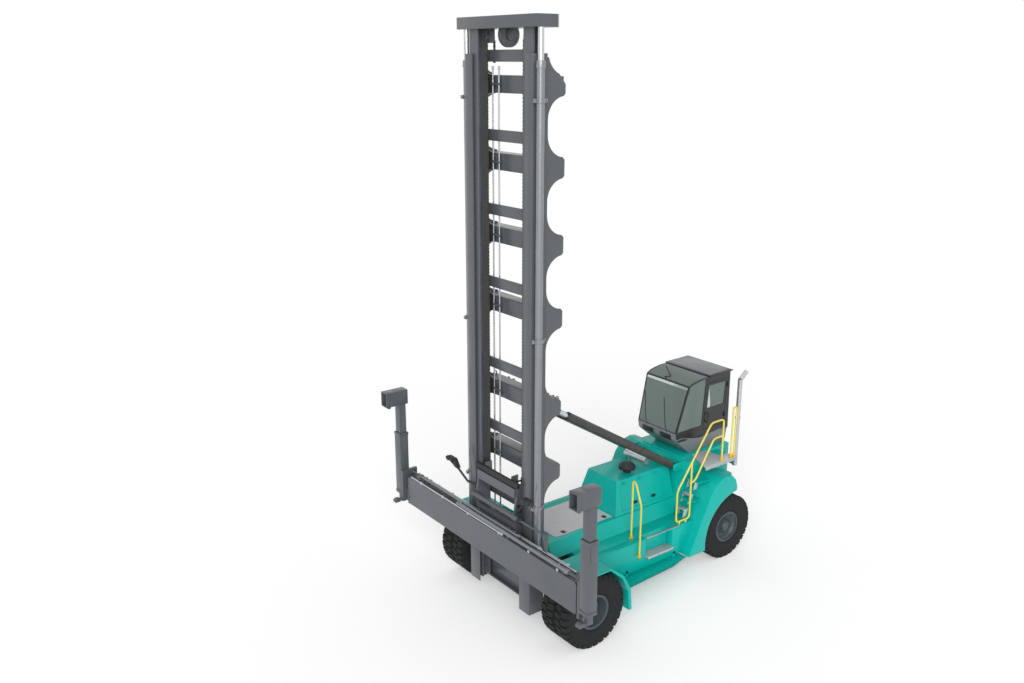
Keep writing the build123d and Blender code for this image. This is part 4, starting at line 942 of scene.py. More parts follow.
@dataclass
class Body(Assembly):
    """The enamelled bodywork: tanks, rear fenders, housing, platform and steps."""

    half: float = 1.250
    centre_half: float = 0.800
    fender_half: float = 1.460
    arch_radius: float = 0.980
    rail_top: float = 1.250
    deck_top: float = 1.530
    platform_top: float = 2.360
    # The fender's outer edge, from the steer axle.
    fender_line: Outline = (
        (-1.459, 0.570), (-1.139, 1.250), (-0.960, 1.620), (-0.860, 1.830), (-0.730, 1.980),
        (-0.560, 2.080), (-0.400, 2.110), (-0.240, 2.080), (-0.120, 1.960), (-0.060, 1.780),
        (-0.075, 1.696),
    )
    # The boarding pocket in the left tank: its two ends and its floor.
    pocket_y: tuple[float, float] = (2.04, 2.80)
    pocket_floor: float = 0.83
    board_low: float = 0.535
    stack: tuple[float, float] = (1.175, 4.705)
    cleaner_foot: Point = (0.2, 2.46, 2.220)

    def tanks(self, hand: Hand) -> None:
        """A side tank; the left one has the boarding pocket and a service door."""
        bench = self.bench(hand)
        top, half = self.rail_top, self.half
        inner = ((0.48, 1.15), (0.48, top), (3.42, top), (3.13, 0.635), (0.86, 0.635))
        front, rear = self.pocket_y
        pocket = ((front, top), (front, self.pocket_floor), (rear, self.pocket_floor), (rear, top))
        outer = inner[:2] + (pocket if hand is Hand.LEFT else ()) + inner[2:]
        bench.side(inner, 0.600, 1.080)
        bench.side(outer, 1.080, half)
        if hand is Hand.LEFT:
            door = [(2.88, 0.74), (3.10, 0.74), (3.24, 1.05)]
            for y, start in ((3.18, 0), (2.94, 90)):
                door += arc((y, 1.14), (0.06, 0.06), start, start + 90, 4)
            bench.side(door, half - 0.01, half + 0.012)
            bench.box((half, 3.14, 0.98), (half + 0.022, 3.18, 1.06))
        bench.soften(0.010, 2, 1.0)
        piece = bench.done(f"side_tank_{hand.word}_shell", "chassis", "teal_paint")
        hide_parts(f"side_tank_{hand.word}")

    def housing(self) -> None:
        """The rear housing with both fenders, arched over their wheels, and the tilt lugs."""
        bench = self.bench()
        opening = [(y, z + AXLE_HEIGHT) for y, z in arc((0, 0), (self.arch_radius,) * 2, 94.4, 188.7, 20)]
        cheek = [(y + WHEELBASE, z) for y, z in list(self.fender_line) + opening]
        for near in map(bench.on, Hand):
            near.side(cheek, self.centre_half, self.fender_half)
        box = (
            (3.48, 1.25), (3.48, 1.53), (3.65, 2.33), (4.40, 2.33), (4.40, 1.52), (3.62, 1.52), (3.62, 1.25)
        )
        bench.side(box, -self.centre_half, self.centre_half)
        bench.box((-0.6, 3.70, 2.30), (0.6, 4.40, self.platform_top))
        lug = (
            (3.70, 2.12), (3.42, 2.15), (3.36, 2.17), (3.34, 2.20), (3.34, 2.29), (3.40, 2.32), (3.70, 2.32)
        )
        for near in map(bench.on, Hand):
            for inner in (0.510, 0.666):
                near.side(lug, inner, inner + 0.024)
        bench.soften(0.022, 3, 0.9)
        for near in map(bench.on, Hand):
            near.rod((0.50, 3.415, 2.24), (0.70, 3.415, 2.24), 0.035, 24)
        piece = bench.done("rear_housing", "chassis", "teal_paint", 0.5)
        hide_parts("rear_body")

    def ballast(self) -> None:
        """The cast counterweight between and behind the wheels, with its tow pocket and pin."""
        bench = self.bench()
        foot, low, rear = 0.80, 1.52, 5.30
        for half, front, back, bottom, top in (
            (0.800, 4.400, 4.860, low, 2.250),
            (1.000, 4.519, 4.860, low, 1.850),
            (0.625, 4.860, 5.150, low, 2.250),
            (0.625, 4.400, 5.150, 2.250, self.platform_top),
        ):
            bench.box((-half, front, bottom), (half, back, top))
        spine = (
            (4.86, low), (rear, low), (rear, 1.00), (5.18, 1.00), (5.18, 0.87), (rear, 0.87),
            (rear, foot), (4.86, foot),
        )
        bench.side(spine, -0.09, 0.09)
        for way in (-1, 1):
            bench.box((way * 0.09, 4.86, foot), (way * 0.26, rear, low))
        bench.soften(0.015, 2, 0.9)
        bench.rod((0, 5.24, foot), (0, 5.24, 1.10), 0.020, 16)
        piece = bench.done("cast_counterweight", "chassis", "teal_paint")
        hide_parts("counterweight")

    def platform(self) -> None:
        """The punched platform and the treads up to it."""
        bench = self.bench()
        outline = (
            (0.600, 3.980), (1.250, 3.693), (1.250, 4.650), (1.000, 4.650), (1.000, 4.400), (0.600, 4.400)
        )
        bench.plan(outline, self.platform_top - 0.030, self.platform_top)
        bench.box((1.236, 3.70, 2.290), (1.262, 4.655, 2.366))
        bench.soften(0.004, 2, 0.9)
        piece = bench.done("platform_grating", "chassis", "step_steel")
        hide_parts("platform")
        bench = self.bench()
        for level, y in ((1.420, 3.230), (1.700, 3.370), (1.980, 3.520)):
            nose = (
                (y, level - 0.14), (y + 0.11, level - 0.14), (y + 0.17, level + 0.05),
                (y + 0.06, level + 0.05),
            )
            bench.side(nose, 1.090, 1.104)
            bench.side(nose, 0.900, 0.914)
            bench.box((0.914, y + 0.05, level + 0.02), (1.090, y + 0.17, level + 0.045))
        bench.box((1.080, 2.045, 0.830), (1.310, 2.795, 0.855))
        bench.soften(0.004, 2, 0.9)
        piece = bench.done("step_treads", "chassis", "step_steel")
        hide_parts("side_steps")

    def boarding(self) -> None:
        """The bright nosings, and the low ribbed board with its riser and brackets."""
        bench = self.bench()
        front, rear = 2.045, 2.795
        bench.box((1.290, front, 0.800), (1.316, rear, 0.862))
        bench.box((1.200, 2.05, self.rail_top - 0.004), (1.262, 2.98, self.rail_top + 0.012))
        rim = ((1.60, 1.19), (1.63, 1.18), (1.55, 2.56), (1.41, 3.085), (1.38, 3.070), (1.52, 2.55))
        bench.plan(rim, self.board_low, self.board_low + 0.050)
        bench.soften(0.004, 2, 0.9)
        bench.done("step_nosings", "chassis", "exhaust_silver")
        bench = self.bench()
        bench.box((1.185, 1.18, 0.545), (1.200, 3.079, 0.730))
        bench.plan(((1.19, 1.18), (1.61, 1.18), (1.53, 2.55), (1.39, 3.070), (1.19, 3.079)), 0.542, 0.574)
        for rib in range(22):
            y = 1.23 + rib * 0.082
            bench.box((1.22, y, 0.572), (1.50 - rib * 0.005, y + 0.030, 0.582))
        for level, front, rear in ((1.640, 3.360, 3.660), (2.020, 3.540, 3.880)):
            bench.box((0.880, front, level), (1.240, rear, level + 0.022))
        for y in (1.50, 2.85):
            bench.box((1.19, y, 0.570), (1.25, y + 0.06, 0.70))
        bench.soften(0.003, 1, 0.9)
        bench.done("boarding_board", "chassis", "teal_paint")

    def deck_plate(self) -> None:
        """The bare service plate in front of the hood, and black blocks that paint the shade inside its two
        lifting pockets.
        """
        bench = self.bench()
        plate = [(-0.56, 1.78), (-0.56, 0.62)] + arc((-0.46, 0.40), (0.10, 0.10), 180, 270, 4)
        plate += arc((0.42, 0.38), (0.10, 0.10), 270, 360, 4) + [(0.52, 1.78)]
        bench.plan(plate, self.deck_top - 0.002, self.deck_top + 0.006)
        bench.soften(0.003, 1, 0.9)
        bench.done("service_plate", "chassis", "step_steel", finish="pale_enamel")
        # Painted shade: black blocks laid on the plate stand for the shadow inside the two lifting pockets.
        bench = self.bench()
        for y in (0.55, 1.63):
            bench.box((0.372, y - 0.045, 1.500), (0.488, y + 0.045, 1.539))
        bench.soften(0.006)
        bench.done("lifting_pockets", "chassis", "black_plastic")

    def fittings(self) -> None:
        """The exhaust's lower bend and collar, and the hood's latches."""
        bench = self.bench()
        x, y = self.stack
        bench.rod((0.800, y, 2.18), (x, y, 2.18), 0.050, 24)
        bench.rod((x, y, 2.13), (x, y, 2.40), 0.054, 24)
        bench.turned(((0, 0.050), (0, 0.062), (0.03, 0.062), (0.03, 0.050)), (x, y, 3.2), steps=24)
        bench.done("exhaust_bend", "chassis", "exhaust_silver")
        x, z = 0.560, 1.70
        for hand in Hand:
            bench = self.bench(hand)
            for y in (2.38, 2.90):
                bench.box((x - 0.020, y - 0.05, z - 0.025), (x + 0.020, y + 0.05, z + 0.025))
                bench.rod((x, y, z), (x + 0.034, y, z), 0.016, 12)
            bench.soften(0.004)
            bench.done(f"hood_latches_{hand.word}", f"{hand.word}_hood_door", "black_plastic")

    def cleaner(self) -> None:
        """The pre-cleaner: a mushroom bowl with vanes round it."""
        bench = self.bench()
        outline = (
            (0, 0.0), (0, 0.070), (0.012, 0.082), (0.024, 0.070), (0.060, 0.070), (0.080, 0.095),
            (0.100, 0.160), (0.116, 0.175), (0.140, 0.178), (0.158, 0.170), (0.176, 0.140),
            (0.196, 0.132), (0.214, 0.096), (0.224, 0.040), (0.230, 0.0),
        )
        bench.turned(outline, self.cleaner_foot)
        x, y, z = self.cleaner_foot
        vane = bench.box((x + 0.150, y - 0.005, z + 0.080), (x + 0.176, y + 0.005, z + 0.125))
        bench.repeat(vane, 20, self.cleaner_foot, Z_AXIS)
        piece = bench.done("mushroom_cleaner", "chassis", "black_plastic", 0.5)
        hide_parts("air_precleaner")

    def build(self) -> None:
        """Builds the bodywork."""
        for hand in Hand:
            self.tanks(hand)
        self.housing()
        self.ballast()
        self.platform()
        self.boarding()
        self.deck_plate()
        self.fittings()
        self.cleaner()


# Cab


@dataclass
class Cab(Assembly):
    """The operator's cab: a welded frame round bonded panes, with its door, roof and inside."""

    outline: Outline = (
        (3.589, 2.700), (3.520, 2.760), (3.500, 2.910), (3.770, 3.925), (3.900, 3.985), (4.150, 4.030),
        (5.030, 4.050), (5.150, 2.700),
    )
    wall: float = 0.040
    glass: float = 0.008
    post: float = 0.026
    # The height and the half width at the cab's foot and head, between which its sides lean.
    foot: tuple[float, float] = (2.600, 0.545)
    head: tuple[float, float] = (4.300, 0.650)
    door_y: tuple[float, float] = (4.330, 4.985)
    door_z: tuple[float, float] = (2.830, 3.900)
    sill: float = 2.910
    rear_sill: float = 3.250
    side_rear: float = 4.300
    roof_front: float = 4.380

    def half(self, z: float) -> float:
        """The cab's half width at a height."""
        share = (z - self.foot[0]) / (self.head[0] - self.foot[0])
        return self.foot[1] + share * (self.head[1] - self.foot[1])

    def shell(self, bench: Bench) -> None:
        """The closed outer skin, cut along the edges of its panes and its door."""
        for vert in bench.side(self.outline, -1.0, 1.0):
            vert.co.x *= self.half(vert.co.z)
        bmesh.ops.recalc_face_normals(bench.mesh, faces=bench.mesh.faces)
        cuts = [(at(0, y, 0), Y_AXIS) for y in (self.side_rear, self.roof_front) + self.door_y]
        cuts += [(Vector((0, 0, z)), Z_AXIS) for z in (self.sill, self.rear_sill) + self.door_z]
        for place, normal in cuts:
            every = bench.mesh.verts[:] + bench.mesh.edges[:] + bench.mesh.faces[:]
            bmesh.ops.bisect_plane(bench.mesh, geom=every, plane_co=place, plane_no=normal, dist=1e-5)

    def region(
        self, bench: Bench, x: int, y: tuple[float, float], z: tuple[float, float], facing: Vector
    ) -> Faces:
        """The skin's faces that look one way, within limits along Y and Z, and on one side if asked."""
        found = []
        for face in bench.mesh.faces:
            middle = face.calc_center_median()
            inside = y[0] < middle.y - AXLE_Y < y[1] and z[0] < middle.z < z[1]
            if inside and face.normal.dot(facing) > 0.6 and (x == 0 or middle.x * x > 0):
                found.append(face)
        return found

    def take(self, bench: Bench, faces: Faces, target: Bench) -> None:
        """Moves faces from one bench to another."""
        bench.mesh.verts.index_update()
        copies = {v.index: target.mesh.verts.new(v.co) for v in {v for f in faces for v in f.verts}}
        for face in faces:
            target.mesh.faces.new([copies[v.index] for v in face.verts])
        bmesh.ops.delete(bench.mesh, geom=faces, context="FACES")

    def cut_pane(self, bench: Bench, faces: Faces, post: float, target: Bench) -> None:
        """Leaves a post round a region and takes its middle out as a pane."""
        bmesh.ops.inset_region(
            bench.mesh, faces=faces, thickness=post, use_even_offset=True, use_boundary=True
        )
        self.take(bench, faces, target)

    def thicken(self, piece: bpy.types.Object, thickness: float, edge: float) -> bpy.types.Object:
        """Gives an open skin its wall, inwards, and rounds its edges."""
        wall = piece.modifiers.new("wall", "SOLIDIFY")
        wall.thickness, wall.offset, wall.use_even_offset = thickness, -1.0, thickness > self.glass
        if edge:
            bevel = piece.modifiers.new("edges", "BEVEL")
            bevel.width, bevel.segments, bevel.limit_method, bevel.angle_limit = edge, 2, "ANGLE", 0.6
        return piece

    def frame_and_panes(self) -> None:
        """The frame, the fixed panes, the door and its window."""
        frame, panes, door, window = self.bench(), self.bench(), self.bench(), self.bench()
        self.shell(frame)
        self.take(frame, self.region(frame, 1, self.door_y, self.door_z, X_AXIS), door)
        quarter = (3.4, self.side_rear), (self.sill, 4.1)
        upper = self.rear_sill, self.door_z[1]
        regions = (
            (0, (3.4, 3.9), (self.sill, 3.925), -Y_AXIS, self.post),
            (0, (3.77, self.roof_front), (3.9, 4.1), Z_AXIS, self.post),
            (0, (4.9, 5.2), (self.rear_sill, 4.0), Y_AXIS, 0.10),
            (1, *quarter, X_AXIS, self.post),
            (-1, *quarter, -X_AXIS, self.post),
            (-1, self.door_y, upper, -X_AXIS, self.post),
        )
        for x, y, z, facing, post in regions:
            self.cut_pane(frame, self.region(frame, x, y, z, facing), post, panes)
        bmesh.ops.recalc_face_normals(door.mesh, faces=door.mesh.faces)
        # The door is a little smaller than its opening.
        middle = at(0, sum(self.door_y) / 2, sum(self.door_z) / 2)
        for vert in door.mesh.verts:
            vert.co.y = middle.y + (vert.co.y - middle.y) * 0.985
            vert.co.z = middle.z + (vert.co.z - middle.z) * 0.99
        if not self.region(door, 0, self.door_y, upper, X_AXIS):
            bmesh.ops.reverse_faces(door.mesh, faces=door.mesh.faces)
            door.mesh.normal_update()
        self.cut_pane(door, self.region(door, 0, self.door_y, upper, X_AXIS), 0.062, window)
        for name, bench, body, slot, wall, edge, node in (
            ("cab_welded_frame", frame, "chassis", "cab_dark", self.wall, 0.006, "cab_frame"),
            ("cab_panes", panes, "chassis", "cab_glass", self.glass, 0.0, "cab_windows"),
            ("cab_door_panel", door, "door", "cab_dark", self.wall, 0.005, "cab_door"),
            ("cab_door_pane", window, "door", "cab_glass", self.glass, 0.0, "cab_door_window"),
        ):
            if slot == "cab_glass":
                for vert in bench.mesh.verts:
                    vert.co.x -= math.copysign(0.012, vert.co.x) * (abs(vert.co.x) > 0.5)
            piece = self.thicken(bench.done(name, body, slot, 0.4), wall, edge)
            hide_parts(node)

    def roof_and_base(self) -> None:
        """The roof panel, its dark rim, the lower moulding and the recesses in it."""
        bench = self.bench()
        rim = ((4.360, 4.034), (5.085, 4.044), (5.095, 4.060), (5.080, 4.072), (4.360, 4.058))
        bench.side(rim, -0.655, 0.655)
        bench.soften(0.008, 2, 0.6)
        bench.done("cab_roof_rim", "chassis", "cab_dark")
        bench = self.bench()
        bench.side(((4.410, 4.050), (5.030, 4.062), (5.030, 4.088), (4.440, 4.076)), -0.60, 0.60)
        bench.soften(0.012, 3, 0.6)
        bench.done("cab_roof_panel", "chassis", "cab_grey")
        bench = self.bench()
        lower = (
            (3.494, 2.920), (3.750, 2.780), (4.100, 2.690), (4.300, 2.660), (4.980, 2.745),
            (5.146, 2.790), (5.130, 2.365), (3.985, 2.365), (3.580, 2.700), (3.512, 2.760),
        )
        for vert in bench.side(lower, -0.556, 0.556):
            vert.co.x *= 1.0 - 0.10 * max(0.0, (2.70 - vert.co.z) / 0.34)
        bench.soften(0.012, 2, 0.5)
        piece = bench.done("cab_lower_moulding", "chassis", "cab_grey", 0.4)
        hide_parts("cab_base")
        bench = self.bench()
        recess = (
            (3.497, 2.860), (3.506, 2.780), (3.560, 2.722), (3.552, 2.716), (3.496, 2.776), (3.488, 2.862)
        )
        for x in (-0.26, 0.26):
            bench.side(recess, x - 0.16, x + 0.16)
        bench.soften(0.004)
        bench.done("cab_light_recesses", "chassis", "black_plastic")

    def small_fittings(self) -> None:
        """The wipers, and the door's hinges and handle."""
        bench = self.bench()
        for start, middle, end in (
            ((-0.27, 3.500, 2.900), (-0.36, 3.520, 3.02), (-0.55, 3.660, 3.560)),
            ((0.30, 3.500, 2.900), (0.22, 3.520, 3.02), (0.02, 3.660, 3.560)),
            ((-0.10, 3.790, 3.960), (0.0, 3.86, 3.998), (-0.45, 4.180, 4.048)),
        ):
            bench.rod(start, middle, 0.010, 10)
            bench.rod(middle, end, 0.008, 10)
            bench.rod(start, (start[0], start[1] + 0.03, start[2]), 0.018, 12)
        bench.done("cab_wipers", "chassis", "black_plastic")
        bench = self.bench()
        hinge_y, handle_y = 4.982, 4.40
        for level in (3.000, 3.700):
            x = self.half(level + 0.05) + 0.012
            bench.rod((x, hinge_y, level), (x, hinge_y, level + 0.10), 0.016, 14)
        low, high = self.half(3.1) + 0.03, self.half(3.5) + 0.03
        bench.rod((low, handle_y, 2.98), (high, handle_y, 3.22), 0.012, 12)
        for level in (3.00, 3.20):
            x = self.half(level)
            bench.rod((x, handle_y, level), (x + 0.032, handle_y, level), 0.010, 10)
        bench.done("cab_door_fittings", "door", "black_plastic")

    def seat(self) -> None:
        """The padded seat, sewn in two parts: each is crowned, with its rim drawn in."""
        for name, low, high, tilt, thin in (
            ("seat_cushion", (-0.25, 4.430, 3.150), (0.25, 4.860, 3.270), -4, 2),
            ("seat_back", (-0.24, 4.830, 3.240), (0.24, 4.950, 3.790), -8, 1),
        ):
            bench = self.bench()
            bench.box(low, high, Matrix.Rotation(math.radians(tilt), 3, "X"))
            bmesh.ops.subdivide_edges(bench.mesh, edges=bench.mesh.edges, cuts=3, use_grid_fill=True)
            middle = (at(*low) + at(*high)) / 2
            for vert in bench.mesh.verts:
                offset = vert.co - middle
                rim = max(abs(offset[i]) / ((high[i] - low[i]) / 2) for i in range(3) if i != thin)
                offset[thin] *= 1.0 - 0.45 * min(rim, 1.0) ** 3
                vert.co = middle + offset
            piece = bench.done(name, "chassis", "seat_plastic", 1.6)
            smooth = piece.modifiers.new("upholstery", "SUBSURF")
            smooth.levels = smooth.render_levels = 2

    def station(self) -> None:
        """The seat's stand, the console, the levers, the column and the steering wheel."""
        bench = self.bench()
        bench.side(((4.48, 2.74), (4.52, 3.15), (4.84, 3.15), (4.86, 2.74)), -0.18, 0.18)
        bench.side(((3.80, 2.74), (3.78, 3.18), (3.86, 3.26), (3.96, 3.20), (3.96, 2.74)), -0.23, 0.23)
        for x in (-0.34, 0.26):
            bench.box((x, 4.46, 3.26), (x + 0.08, 4.80, 3.31))
            bench.rod((x + 0.04, 4.50, 3.30), (x + 0.04, 4.48, 3.42), 0.014, 12)
        bench.soften(0.012, 2, 0.6)
        axis = Vector((0, 0.16, 0.20)).normalized()
        centre = at(0, 4.06, 3.385)
        wheel_radius = 0.190
        bench.hoop(centre, axis, wheel_radius, 0.013, 40)
        for spoke in (X_AXIS, -X_AXIS, axis.cross(X_AXIS).normalized()):
            bench.rod(centre - axis * 0.02, centre + spoke * wheel_radius, 0.011, 10)
        bench.rod((0, 3.90, 3.20), centre, 0.024, 16)
        piece = bench.done("driving_station", "chassis", "black_plastic", 0.6)
        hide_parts("operator_station")

    def build(self) -> None:
        """Builds the cab."""
        self.frame_and_panes()
        self.roof_and_base()
        self.small_fittings()
        self.seat()
        self.station()


# Rails


@dataclass
class Rails(Assembly):
    """The yellow handrails and the sockets that they stand in."""

    radius: float = 0.019
    # Each run's bend radius and the corners of its path.
    runs: tuple[tuple[float, tuple[Point, ...]], ...] = (
        (
            0.05,
            (
                (1.04, 1.82, 1.25), (1.04, 1.82, 2.50), (1.12, 1.82, 2.48), (1.29, 1.82, 2.05),
                (1.29, 1.82, 0.95),
            ),
        ),
        (
            0.09,
            (
                (1.20, 3.33, 2.56), (1.20, 3.33, 1.31), (1.20, 2.935, 1.31), (1.20, 2.935, 2.01),
                (1.20, 3.865, 3.29), (1.20, 4.24, 3.29), (1.20, 4.24, 2.36),
            ),
        ),
        (0.09, ((1.20, 3.338, 2.085), (1.20, 3.46, 2.13), (1.20, 3.96, 2.92), (1.20, 4.232, 2.92))),
        (0.045, ((1.20, 4.525, 2.36), (1.20, 4.525, 3.48), (1.20, 4.625, 3.48), (1.20, 4.625, 2.36))),
        (0.02, ((1.20, 3.039, 1.25), (1.20, 3.039, 1.28), (1.20, 3.039, 1.31))),
        (0.02, ((1.20, 3.226, 1.25), (1.20, 3.226, 1.28), (1.20, 3.226, 1.31))),
    )
    feet: tuple[Point, ...] = (
        (1.04, 1.82, 1.25), (1.20, 4.24, 2.36), (1.20, 4.525, 2.36), (1.20, 4.625, 2.36),
        (1.29, 1.82, 0.93),
    )

    def build(self) -> None:
        """The bent tubes, then a flanged socket at each foot."""
        bench = self.bench()
        for bend, points in self.runs:
            bench.pipe(points, self.radius, bend)
        piece = bench.done("bent_handrails", "chassis", "rail_yellow")
        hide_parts("handrails")
        bench = self.bench()
        flange = ((0, 0.020), (0, 0.042), (0.012, 0.042), (0.016, 0.028), (0.085, 0.026), (0.092, 0.020))
        for foot in self.feet:
            bench.turned(flange, foot, steps=20)
        bench.box((1.245, 1.79, 0.935), (1.29, 1.85, 0.965))
        bench.done("rail_sockets", "chassis", "rail_yellow", finish="amber_enamel")


# Lifting gear


@dataclass
class LiftingGear(Assembly):
    """The carriage's and spreader's fine pieces, the telescopes and the two legs."""

    leg_in: float = 2.870
    leg_out: float = 3.090
    leg_front: float = -1.160
    leg_rear: float = -0.960
    sleeve_top: float = 2.960
    head_bottom: float = 3.590
    head_top: float = 3.900
    beam_half: float = 2.718
    beam_front: float = -1.097
    tube_z: float = 2.098
    shift_y: float = -0.850
    shift_z: float = 2.370

    def sleeve(self, hand: Hand) -> None:
        """A leg's sleeve: foot, collar, square tube with a wear plate, and the hook."""
        bench = self.bench(hand)
        for x_in, x_out, front, rear, low, high in (
            (2.915, 3.045, -1.125, -0.995, 1.390, 1.590),
            (2.862, 3.096, -1.168, -0.952, 1.580, 1.650),
            (self.leg_in, self.leg_out, self.leg_front, self.leg_rear, 1.650, self.sleeve_top),
            (2.862, 3.098, -1.168, -0.952, 2.900, self.sleeve_top),
        ):
            bench.box((x_in, front, low), (x_out, rear, high))
        hook = (
            (-1.160, 1.470), (-1.240, 1.470), (-1.280, 1.440), (-1.280, 1.390), (-1.250, 1.400),
            (-1.160, 1.400),
        )
        bench.side(hook, 2.915, 3.045)
        plate = (
            (-1.130, 2.600), (-1.130, 2.900), (-1.100, 2.930), (-1.020, 2.930), (-0.990, 2.900),
            (-0.990, 2.600),
        )
        bench.side(plate, self.leg_out, 3.108)
        bench.soften(0.008, 2, 0.9)
        piece = bench.done(f"leg_tube_{hand.word}", f"{hand.word}_arm", "mast_grey")
        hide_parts(f"leg_sleeve_{hand.word}")

    def head(self, hand: Hand) -> None:
        """A leg's post and its head, open to the front like a box, with the latch under it."""
        bench = self.bench(hand)
        bench.box((2.892, -1.138, 1.79), (3.068, -0.982, 3.60))
        left, right = 2.880, 3.100
        low, high = self.head_bottom, self.head_top
        bench.box((left, -1.250, low), (right, -0.930, high))
        plates = [((left, low), (right, low + 0.022)), ((left, high - 0.022), (right, high))]
        walls = [
            ((left, low + 0.010), (left + 0.022, high - 0.010)),
            ((right - 0.022, low + 0.010), (right, high - 0.010)),
        ]
        for (x_in, bottom), (x_out, top) in plates + walls:
            bench.box((x_in, -1.440, bottom), (x_out, -1.240, top))
        lug = ((-1.380, 3.592), (-1.370, 3.540), (-1.335, 3.520), (-1.300, 3.540), (-1.290, 3.592))
        bench.side(lug, 2.950, 3.030)
        bench.soften(0.006, 2, 0.9)
        bench.rod((2.93, -1.335, 3.555), (3.05, -1.335, 3.555), 0.014, 14)
        piece = bench.done(f"leg_top_{hand.word}", f"{hand.word}_leg", "mast_grey")
        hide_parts(f"leg_head_{hand.word}")

    def beam_fittings(self) -> None:
        """End frames, tubes, glands and clips on the spreader's main beam."""
        bench = self.bench()
        front, rear, bottom, top = self.beam_front, -0.794, 1.425, 2.042
        for near in map(bench.on, Hand):
            x, inner = self.beam_half, self.beam_half - 0.030
            near.box((inner, front, bottom), (x, rear, 1.456))
            near.box((inner, front, 2.012), (x, rear, top))
            near.box((inner, front, bottom), (x, -1.070, top))
        bench.soften(0.003, 1, 0.9)
        bench.done("beam_end_frames", "spreader", "mast_grey")
        bench = self.bench()
        for y, z, start, end in (
            (-1.075, 2.060, -2.55, 0.60), (-0.985, 2.058, -0.60, 2.55), (-0.880, 2.062, -2.45, 2.45),
            (-0.838, 2.056, -1.9, 2.2),
        ):
            bench.rod((start, y, z), (end, y, z), 0.015, 14)
            for end_x in (start, end):
                bench.rod((end_x - 0.030, y, z), (end_x + 0.030, y, z), 0.023, 6)
        for x in (-2.2, -1.4, -0.5, 0.5, 1.4, 2.2):
            bench.box((x - 0.025, -0.905, 2.034), (x + 0.025, -0.820, 2.082))
            bench.box((x - 0.025, -1.090, 2.034), (x + 0.025, -1.060, 2.080))
        bench.done("beam_pipes", "spreader", "exhaust_silver")
        bench = self.bench()
        gland = ((0, 0.039), (0, 0.050), (0.045, 0.052), (0.060, 0.047), (0.075, 0.040), (0.075, 0.0225))
        plug = ((0, 0.0), (0, 0.048), (0.03, 0.048), (0.035, 0.039))
        for side, y in ((1, -1.035), (-1, -0.935)):
            axis = Vector((side, 0, 0))
            bench.turned(gland, (side * 2.380, y, self.tube_z), axis, 28)
            bench.turned(plug, (-side * 0.915, y, self.tube_z), axis, 28)
            for port in (-0.80, 2.20):
                bench.rod((side * port, y, self.tube_z), (side * port, y, self.tube_z + 0.067), 0.016, 12)
        bench.done("telescope_glands", "spreader", "cylinder_grey")

    def side_shift(self) -> None:
        """The side-shift clevis and the dark crossbar with its hose guides."""
        bench = self.bench()
        y, z = self.shift_y, self.shift_z
        clevis = (
            (y - 0.050, z - 0.040), (y + 0.050, z - 0.040), (y + 0.050, z + 0.040), (y - 0.050, z + 0.040)
        )
        for x in (1.512, 1.604):
            bench.side(clevis, x, x + 0.018)
        bench.rod((1.50, y, z), (1.63, y, z), 0.022, 16)
        bench.soften(0.003, 1, 0.9)
        bench.done("side_shift_clevis", "spreader", "mast_grey")
        bench = self.bench()
        bench.turned(((0, 0.025), (0, 0.060), (0.06, 0.062), (0.075, 0.052)), (0.800, y, z), X_AXIS, 28)
        bench.box((-0.66, -0.776, 2.905), (0.66, -0.716, 3.005))
        guide_y = -0.560
        for x in (-0.52, 0.52):
            bench.rod((x, -0.716, 2.98), (x, guide_y, 2.98), 0.018, 14)
            bench.rod((x, guide_y, 2.90), (x, guide_y, 3.04), 0.018, 14)
        bench.soften(0.005, 1, 0.9)
        bench.done("carriage_crossbar", "lift_carriage", "black_plastic")

    def lamps(self) -> None:
        """The lamp housings on their arms, with the wedge that carries each pair."""
        bench = self.bench()
        knee = (0.82, -0.86, 2.56)
        wedge = ((0.98, 2.80), (1.06, 2.81), (1.33, 2.925), (1.33, 2.960), (1.10, 2.960))
        bowl = ((0, 0.0), (0.006, 0.046), (0.014, 0.052), (0.060, 0.050), (0.085, 0.030), (0.090, 0.0))
        for near in map(bench.on, Hand):
            near.rod((0.64, -0.74, 2.50), knee, 0.026, 16)
            near.rod(knee, (1.15, -0.96, 2.88), 0.022, 16)
            near.front(wedge, -1.000, -0.905)
            for x in (1.15, 1.27):
                near.turned(bowl, (x, -1.045, 2.925), Vector((0, 0.94, 0.34)), 24)
                near.rod((x, -0.96, 2.89), (x, -0.96, 2.93), 0.010, 10)
            near.box((0.625, -0.78, 2.43), (0.70, -0.70, 2.56))
        bench.soften(0.003, 1, 0.9)
        piece = bench.done("lamp_housings", "lift_carriage", "black_plastic")
        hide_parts("work_lamps")

    def build(self) -> None:
        """Builds the lifting gear."""
        for hand in Hand:
            self.sleeve(hand)
            self.head(hand)
        self.beam_fittings()
        self.side_shift()
        self.lamps()


# Studio


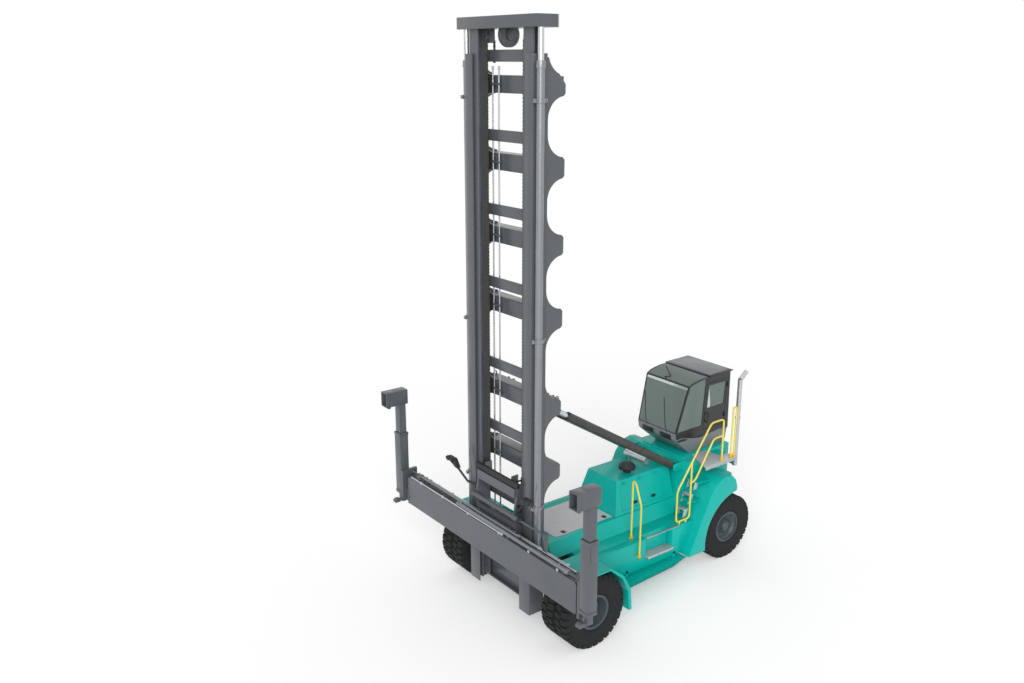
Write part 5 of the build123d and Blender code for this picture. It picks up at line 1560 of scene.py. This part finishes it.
@dataclass
class Studio:
    """The pale floor, the lamps, the sky and the camera."""

    eye: Point = (13.559, -12.595, 10.499)
    sight: Point = (-0.76489, 0.57950, -0.28131)
    lens: float = 33.975
    sensor: float = 36.0
    clip_end: float = 400.0
    sky: float = 0.50
    sun: float = 2.1
    sun_degrees: float = 50.0
    sunlight: Point = (-0.68, 0.62, -0.36)
    floor_radius: float = 90.0
    paper: float = 0.97
    floor_glow: float = 0.30

    def seen_only(self, tree: Tree) -> Socket:
        """1 for what the camera sees directly, in a mirror or through glass."""
        path = add_node(tree, "LightPath")
        seen = path.outputs["Is Camera Ray"]
        for ray in ("Is Glossy Ray", "Is Transmission Ray"):
            either = {0: seen, 1: path.outputs[ray]}
            seen = add_node(tree, "Math", {"operation": "MAXIMUM"}, either).outputs[0]
        return seen

    def floor(self) -> None:
        """A round white floor that keeps the machine's soft shadow."""
        bench = bmesh.new()
        bmesh.ops.create_circle(bench, cap_ends=True, segments=96, radius=self.floor_radius)
        data = bpy.data.meshes.new("studio_floor")
        bench.to_mesh(data)
        bench.free()
        ground = bpy.data.objects.new("studio_floor", data)
        bpy.context.scene.collection.objects.link(ground)
        # White studio paper, rolled flat, a little brighter to the eye than it reflects.
        material, tree = empty_material("studio_paper")
        paper = add_node(tree, "BsdfDiffuse", {"in:Color": (self.paper, self.paper, self.paper, 1.0)})
        glowing = {"operation": "MULTIPLY", "in:1": self.floor_glow}
        strength = add_node(tree, "Math", glowing, {0: self.seen_only(tree)})
        glow = add_node(tree, "Emission", {}, {"Strength": strength.outputs[0]})
        both = add_node(tree, "AddShader", {}, {0: paper.outputs[0], 1: glow.outputs[0]})
        add_node(tree, "OutputMaterial", {}, {"Surface": both.outputs[0]})
        data.materials.append(material)

    def light(self) -> None:
        """An even sky, white where it is seen, and one broad soft sun from the machine's left front."""
        world = bpy.data.worlds.new("studio_sky")
        bpy.context.scene.world = world
        world.use_nodes = True
        tree = world.node_tree
        tree.nodes.clear()
        strength = remap(tree, self.seen_only(tree), to=(self.sky, 1.0))
        sky = add_node(tree, "Background", {"in:Color": (1, 1, 1, 1)}, {"Strength": strength})
        add_node(tree, "OutputWorld", {}, {"Surface": sky.outputs[0]})
        lamp = bpy.data.lights.new("key_sun", "SUN")
        lamp.energy, lamp.angle = self.sun, math.radians(self.sun_degrees)
        sun = bpy.data.objects.new("key_sun", lamp)
        sun.rotation_mode = "QUATERNION"
        sun.rotation_quaternion = Vector(self.sunlight).to_track_quat("-Z", "Y")
        bpy.context.scene.collection.objects.link(sun)

    def camera(self) -> None:
        """The camera at the photograph's place and angle."""
        data = bpy.data.cameras.new("studio_camera")
        data.lens, data.sensor_width, data.clip_end = self.lens, self.sensor, self.clip_end
        camera = bpy.data.objects.new("studio_camera", data)
        camera.location = self.eye
        camera.rotation_mode = "QUATERNION"
        camera.rotation_quaternion = Vector(self.sight).to_track_quat("-Z", "Y")
        bpy.context.scene.collection.objects.link(camera)
        bpy.context.scene.camera = camera

    def build(self) -> None:
        """Sets the stage."""
        self.camera()
        self.floor()
        self.light()
        bpy.context.scene.view_settings.view_transform = "Standard"


def main() -> None:
    """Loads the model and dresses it."""
    logging.basicConfig(level=logging.INFO, format="%(name)s: %(message)s")
    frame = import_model()
    Studio().build()
    shop = Paintshop()
    shop.dress_nodes(frame)
    for assembly in (Wheels, Mast, Body, Cab, Rails, LiftingGear):
        assembly(shop).build()
    bpy.context.view_layer.update()


if __name__ == "__main__":
    main()
